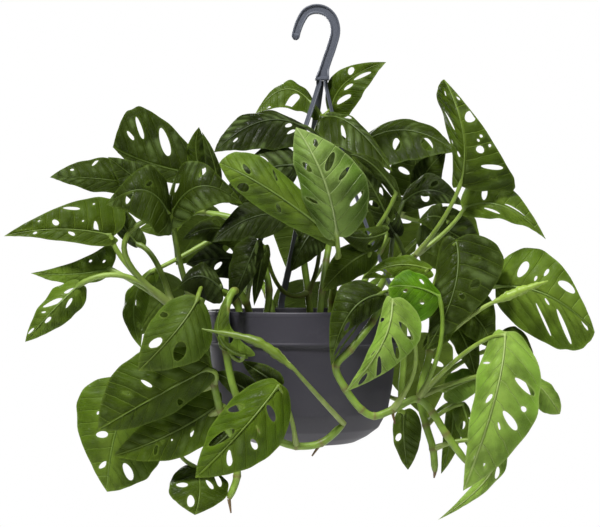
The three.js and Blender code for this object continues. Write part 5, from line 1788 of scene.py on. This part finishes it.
@dataclass
class Hanger:
    """The moulded hook and its straps, in millimetres.

    The hook has rims on both sides of a web. A strap sags in from the straight line, and its lug lies
    outside the collar.
    """

    pot: NurseryPot
    thickness: float = 6.0
    foot_thickness: float = 11.0
    width: float = 9.6
    tip_width: float = 8.0
    foot_width: float = 14.0
    tip_growth: float = 2.5
    widening_power: float = 1.3
    rim: float = 1.7
    web: float = 2.4
    solid_web: float = 0.98
    foot_x: float = 7.0
    foot_z: float = -66.0
    strap_width: float = 7.0
    strap_thickness: float = 1.6
    strap_rim: float = 1.2
    strap_chamfer: float = 0.25
    strap_start: float = 4.0
    strap_neck: float = 5.0
    strap_shoulder: float = 6.0
    strap_offset: float = 2.4
    strap_overhang: float = 2.6
    strap_count: int = 3
    first_angle: float = -17.0
    sag: float = 9.0
    lug: float = 16.0
    gap: float = 0.35
    hook_steps: int = 7
    strap_steps: int = 22
    crease: float = 35.0

    LINE = (
        (-20, -26), (-18.2, -17), (-14.2, -6.5), (-8.5, 1.8), (0, 5), (10, 3), (17.5, -4.5),
        (20.5, -17), (17, -32), (11.8, -47), (8.4, -58),
    )
    ROUND_TIP = (0.35, 0.75, 0.93)
    STRAP_RECESS = (0.3, 0.75)
    TOE = (3.6, 1.2)
    SOLID_ENDS = (4, 3)
    LEVEL_POINTS = 8
    WIDENING = (-52, 12)
    DEEPENING = (-55, 7)

    @staticmethod
    def beam(width: float, thickness: float, flange: float, web: float) -> list[tuple[float, float]]:
        """Gives an I-shaped section with small roundings.

        Args:
            width: Size across the hook.
            thickness: Size from front to back.
            flange: Thickness of each rim.
            web: Thickness of the web between the rims.

        Returns:
            Points of the section as across and front-to-back.
        """
        w, t, f, b = width / 2, thickness / 2, width / 2 - flange, web / 2
        r = min(0.7, flange / 2.5)
        quarter = [
            (w, 0), (w, t - r), (w - 0.3 * r, t - 0.3 * r), (w - r, t), (f + 0.5 * r, t),
            (f + 0.15 * r, t - 0.15 * r), (f, t - 0.5 * r), (f - 0.2, b + 0.4), (f - 0.7, b), (0, b),
        ]
        upper = quarter + [(-x, y) for x, y in reversed(quarter[:-1])]
        return upper + [(-x, -y) for x, y in upper[1:-1]]

    def hook(self) -> Mesh:
        """Sweeps the hook from its rounded tip to the foot."""
        line = spline(np.array([*self.LINE, (self.foot_x, self.foot_z)]), self.hook_steps)
        count, share = len(line), np.linspace(0, 1, len(line))
        blend = np.clip((np.arange(count) - count) / self.LEVEL_POINTS + 2, 0, 1)[:, None]
        across = unit(sideways(line) * (1 - blend) + np.array([1.0, 0.0]) * blend)

        def low_down(start: float, over: float) -> Array:
            """Runs from zero to one below a height of the shank."""
            return np.clip((start - line[:, 1]) / over, 0, 1) * (share > 0.5)

        width = self.tip_width + (self.width - self.tip_width) * np.minimum(1, self.tip_growth * share)
        width = width + (self.foot_width - width) * low_down(*self.WIDENING) ** self.widening_power
        thick = self.thickness + (self.foot_thickness - self.thickness) * low_down(*self.DEEPENING)
        rings = []
        for k, (centre, side) in enumerate(zip(line, across)):
            shrink = self.ROUND_TIP[k] if k < len(self.ROUND_TIP) else 1.0
            hollow = self.SOLID_ENDS[0] < k < count - self.SOLID_ENDS[1]
            web = self.web if hollow else thick[k] * self.solid_web
            section = self.beam(width[k] * shrink, thick[k] * shrink, self.rim * shrink, web * shrink)
            rings.append([(centre[0] + a * side[0], y, centre[1] + a * side[1]) for a, y in section])
        return loft("hook_body", rings)

    def strap_line(self, number: int) -> tuple[Array, float]:
        """Gives a numbered strap's line, as distance from the hook's foot and height, and its heading."""
        angle = math.radians(self.first_angle + 360 / self.strap_count * number)
        rim_x = self.pot.x + self.pot.collar_radius * math.cos(angle) - self.foot_x
        rim_y, rim_z = self.pot.collar_radius * math.sin(angle), self.pot.rim_z
        reach, top = math.hypot(rim_x, rim_y) + self.strap_offset, self.foot_z - self.gap
        low = rim_z - self.pot.collar_height - self.strap_overhang
        start = np.array([self.strap_start, top - self.strap_neck])
        end = np.array([reach, rim_z + self.strap_shoulder])
        control = np.array([reach / 2 - self.sag, (top + rim_z) / 2 - self.sag])
        fall = bow(start, control, end, np.linspace(0, 1, self.strap_steps)[:, None])
        lower = [(reach, rim_z - self.lug), (reach, low), (reach - self.TOE[0], low - self.TOE[1])]
        return np.concatenate([[(self.strap_start, top)], fall, lower]), math.atan2(rim_y, rim_x)

    def strap(self, number: int) -> Mesh:
        """Sweeps a numbered strap, with raised rims on its outer face."""
        line, heading = self.strap_line(number)
        w, t, c = self.strap_width / 2, self.strap_thickness / 2, self.strap_chamfer
        r, (slope, depth) = w - self.strap_rim, self.STRAP_RECESS
        half = [(w - c, -t), (w, -t + c), (w, t - c), (w - c, t), (r, t), (r - slope, t - depth)]
        section = half + [(-y, lift) for y, lift in reversed(half)]
        rings = []
        for (reach, z), side in zip(line, sideways(line)):
            ring = []
            for y, lift in section:
                out = reach + lift * side[0]
                x = self.foot_x + out * math.cos(heading) - y * math.sin(heading)
                ring.append((x, out * math.sin(heading) + y * math.cos(heading), z + lift * side[1]))
            rings.append(ring)
        return loft(f"strap_body_{number + 1}", rings)

    def build(self, shop: FinishShop) -> dict[str, Piece]:
        """Builds the hook and the straps, each by the node that it replaces."""
        made = {"hook": new_piece("moulded_hook", self.hook())}
        for number in range(self.strap_count):
            made[f"strap_{number + 1}"] = new_piece(f"moulded_strap_{number + 1}", self.strap(number))
        for piece in made.values():
            outward(piece).data.materials.append(shop.hanger)
            smooth(piece, self.crease)
        return made


# ---- studio


@dataclass
class Studio:
    """The camera in millimetres, the point that the lights face, and the floor in metres."""

    floor_z: float = -0.92
    floor_radius: float = 1.7
    floor_segments: int = 96
    floor_roughness: float = 0.8
    lens: float = 108.0
    sensor: float = 36.0
    target: Spot = (0.0, 0.0, -0.25)

    # Each light by its name: where it stands in metres, its side and its watts.
    LIGHTS = {
        "key_light": ((-0.8, -1.7, 1.9), 0.5, 102.0),
        "fill_light": ((1.9, -1.7, 0.3), 1.6, 10.0),
        "top_light": ((0.5, -0.5, 1.9), 1.0, 20.0),
        "back_light": ((-0.7, 1.9, 0.2), 1.2, 34.0),
    }
    GLOW = (1.0, 1.0, 0.98, 1.0)
    GLOW_STRENGTH = 0.06
    PALE = (0.86, 0.86, 0.85, 1.0)

    def build(self) -> None:
        """Sets up the camera, the world, the lights and the floor."""
        bpy.context.scene.view_settings.view_transform = "Standard"
        self.camera()
        self.world()
        for name, (place, size, watts) in self.LIGHTS.items():
            data = bpy.data.lights.new(name, "AREA")
            data.size, data.energy = size, watts
            light = new_piece(name, data)
            light.location = place
            light.rotation_euler = (Vector(self.target) - Vector(place)).to_track_quat("-Z", "Y").to_euler()
        self.floor()

    def camera(self) -> None:
        """Places the level camera in front of the plant."""
        data = bpy.data.cameras.new("camera")
        data.lens, data.sensor_width = self.lens, self.sensor
        camera = new_piece("camera", data)
        camera.location = np.array(EYE) * MM
        camera.rotation_euler = (math.pi / 2, 0, 0)
        bpy.context.scene.camera = camera

    def world(self) -> None:
        """Makes a white surround that lights the plant softly."""
        world = bpy.data.worlds.new("white_studio")
        world.use_nodes = True
        world.node_tree.nodes.clear()
        sheet = NodeSheet(world.node_tree)
        glow = sheet.node("Background", {"Color": self.GLOW, "Strength": self.GLOW_STRENGTH})
        seen = sheet.node("Background", {"Color": (1, 1, 1, 1), "Strength": 1.0})
        seen_by_eye = sheet.node("LightPath").outputs["Is Camera Ray"]
        mixed = sheet.node("MixShader", {0: seen_by_eye, 1: glow.outputs[0], 2: seen.outputs[0]})
        sheet.node("OutputWorld", {"Surface": mixed.outputs[0]})
        bpy.context.scene.world = world

    def floor(self) -> None:
        """Lays the pale floor far below the plant."""
        turn = np.linspace(0, 2 * np.pi, self.floor_segments, endpoint=False)
        ring = np.stack([np.cos(turn), np.sin(turn), 0 * turn], axis=1) * self.floor_radius
        ring = ring + (0, 0, self.floor_z)
        floor = new_piece("studio_floor", mesh_of("studio_floor", ring, [tuple(range(len(ring)))]))
        floor.data.materials.append(Coat("pale_floor").paint(self.PALE, self.floor_roughness))


# ---- assembly


def put(piece: Piece, slot: str, *nodes: str) -> None:
    """Hangs a finished piece on the frame.

    Args:
        piece: The piece.
        slot: The record's material slot, not used.
        *nodes: The nodes that it stands for.
    """
    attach(piece, "root")
    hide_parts(*nodes)
    LOG.info("%s: %d faces, stands for %s", piece.name, len(piece.data.polygons), ", ".join(nodes))


def main() -> None:
    """Builds the plant, its pot and its hanger over the frame."""
    logging.basicConfig(level=logging.INFO, format="%(message)s")
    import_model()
    Studio().build()
    shop = FinishShop()
    pot = NurseryPot()
    put(pot.build(shop), "pot", "pot")
    put(PottingSoil(pot).build(shop), "soil", "soil")
    for node, piece in Hanger(pot).build(shop).items():
        put(piece, "hanger", node)
    tree = stem_tree()
    for number, plan in enumerate(STEMS):
        spacing = REAR_SPACING if "rear" in plan.name else SPACING
        put(LeafyStem(plan, number, spacing).build(tree, shop), "leaf", plan.name)


if __name__ == "__main__":
    main()
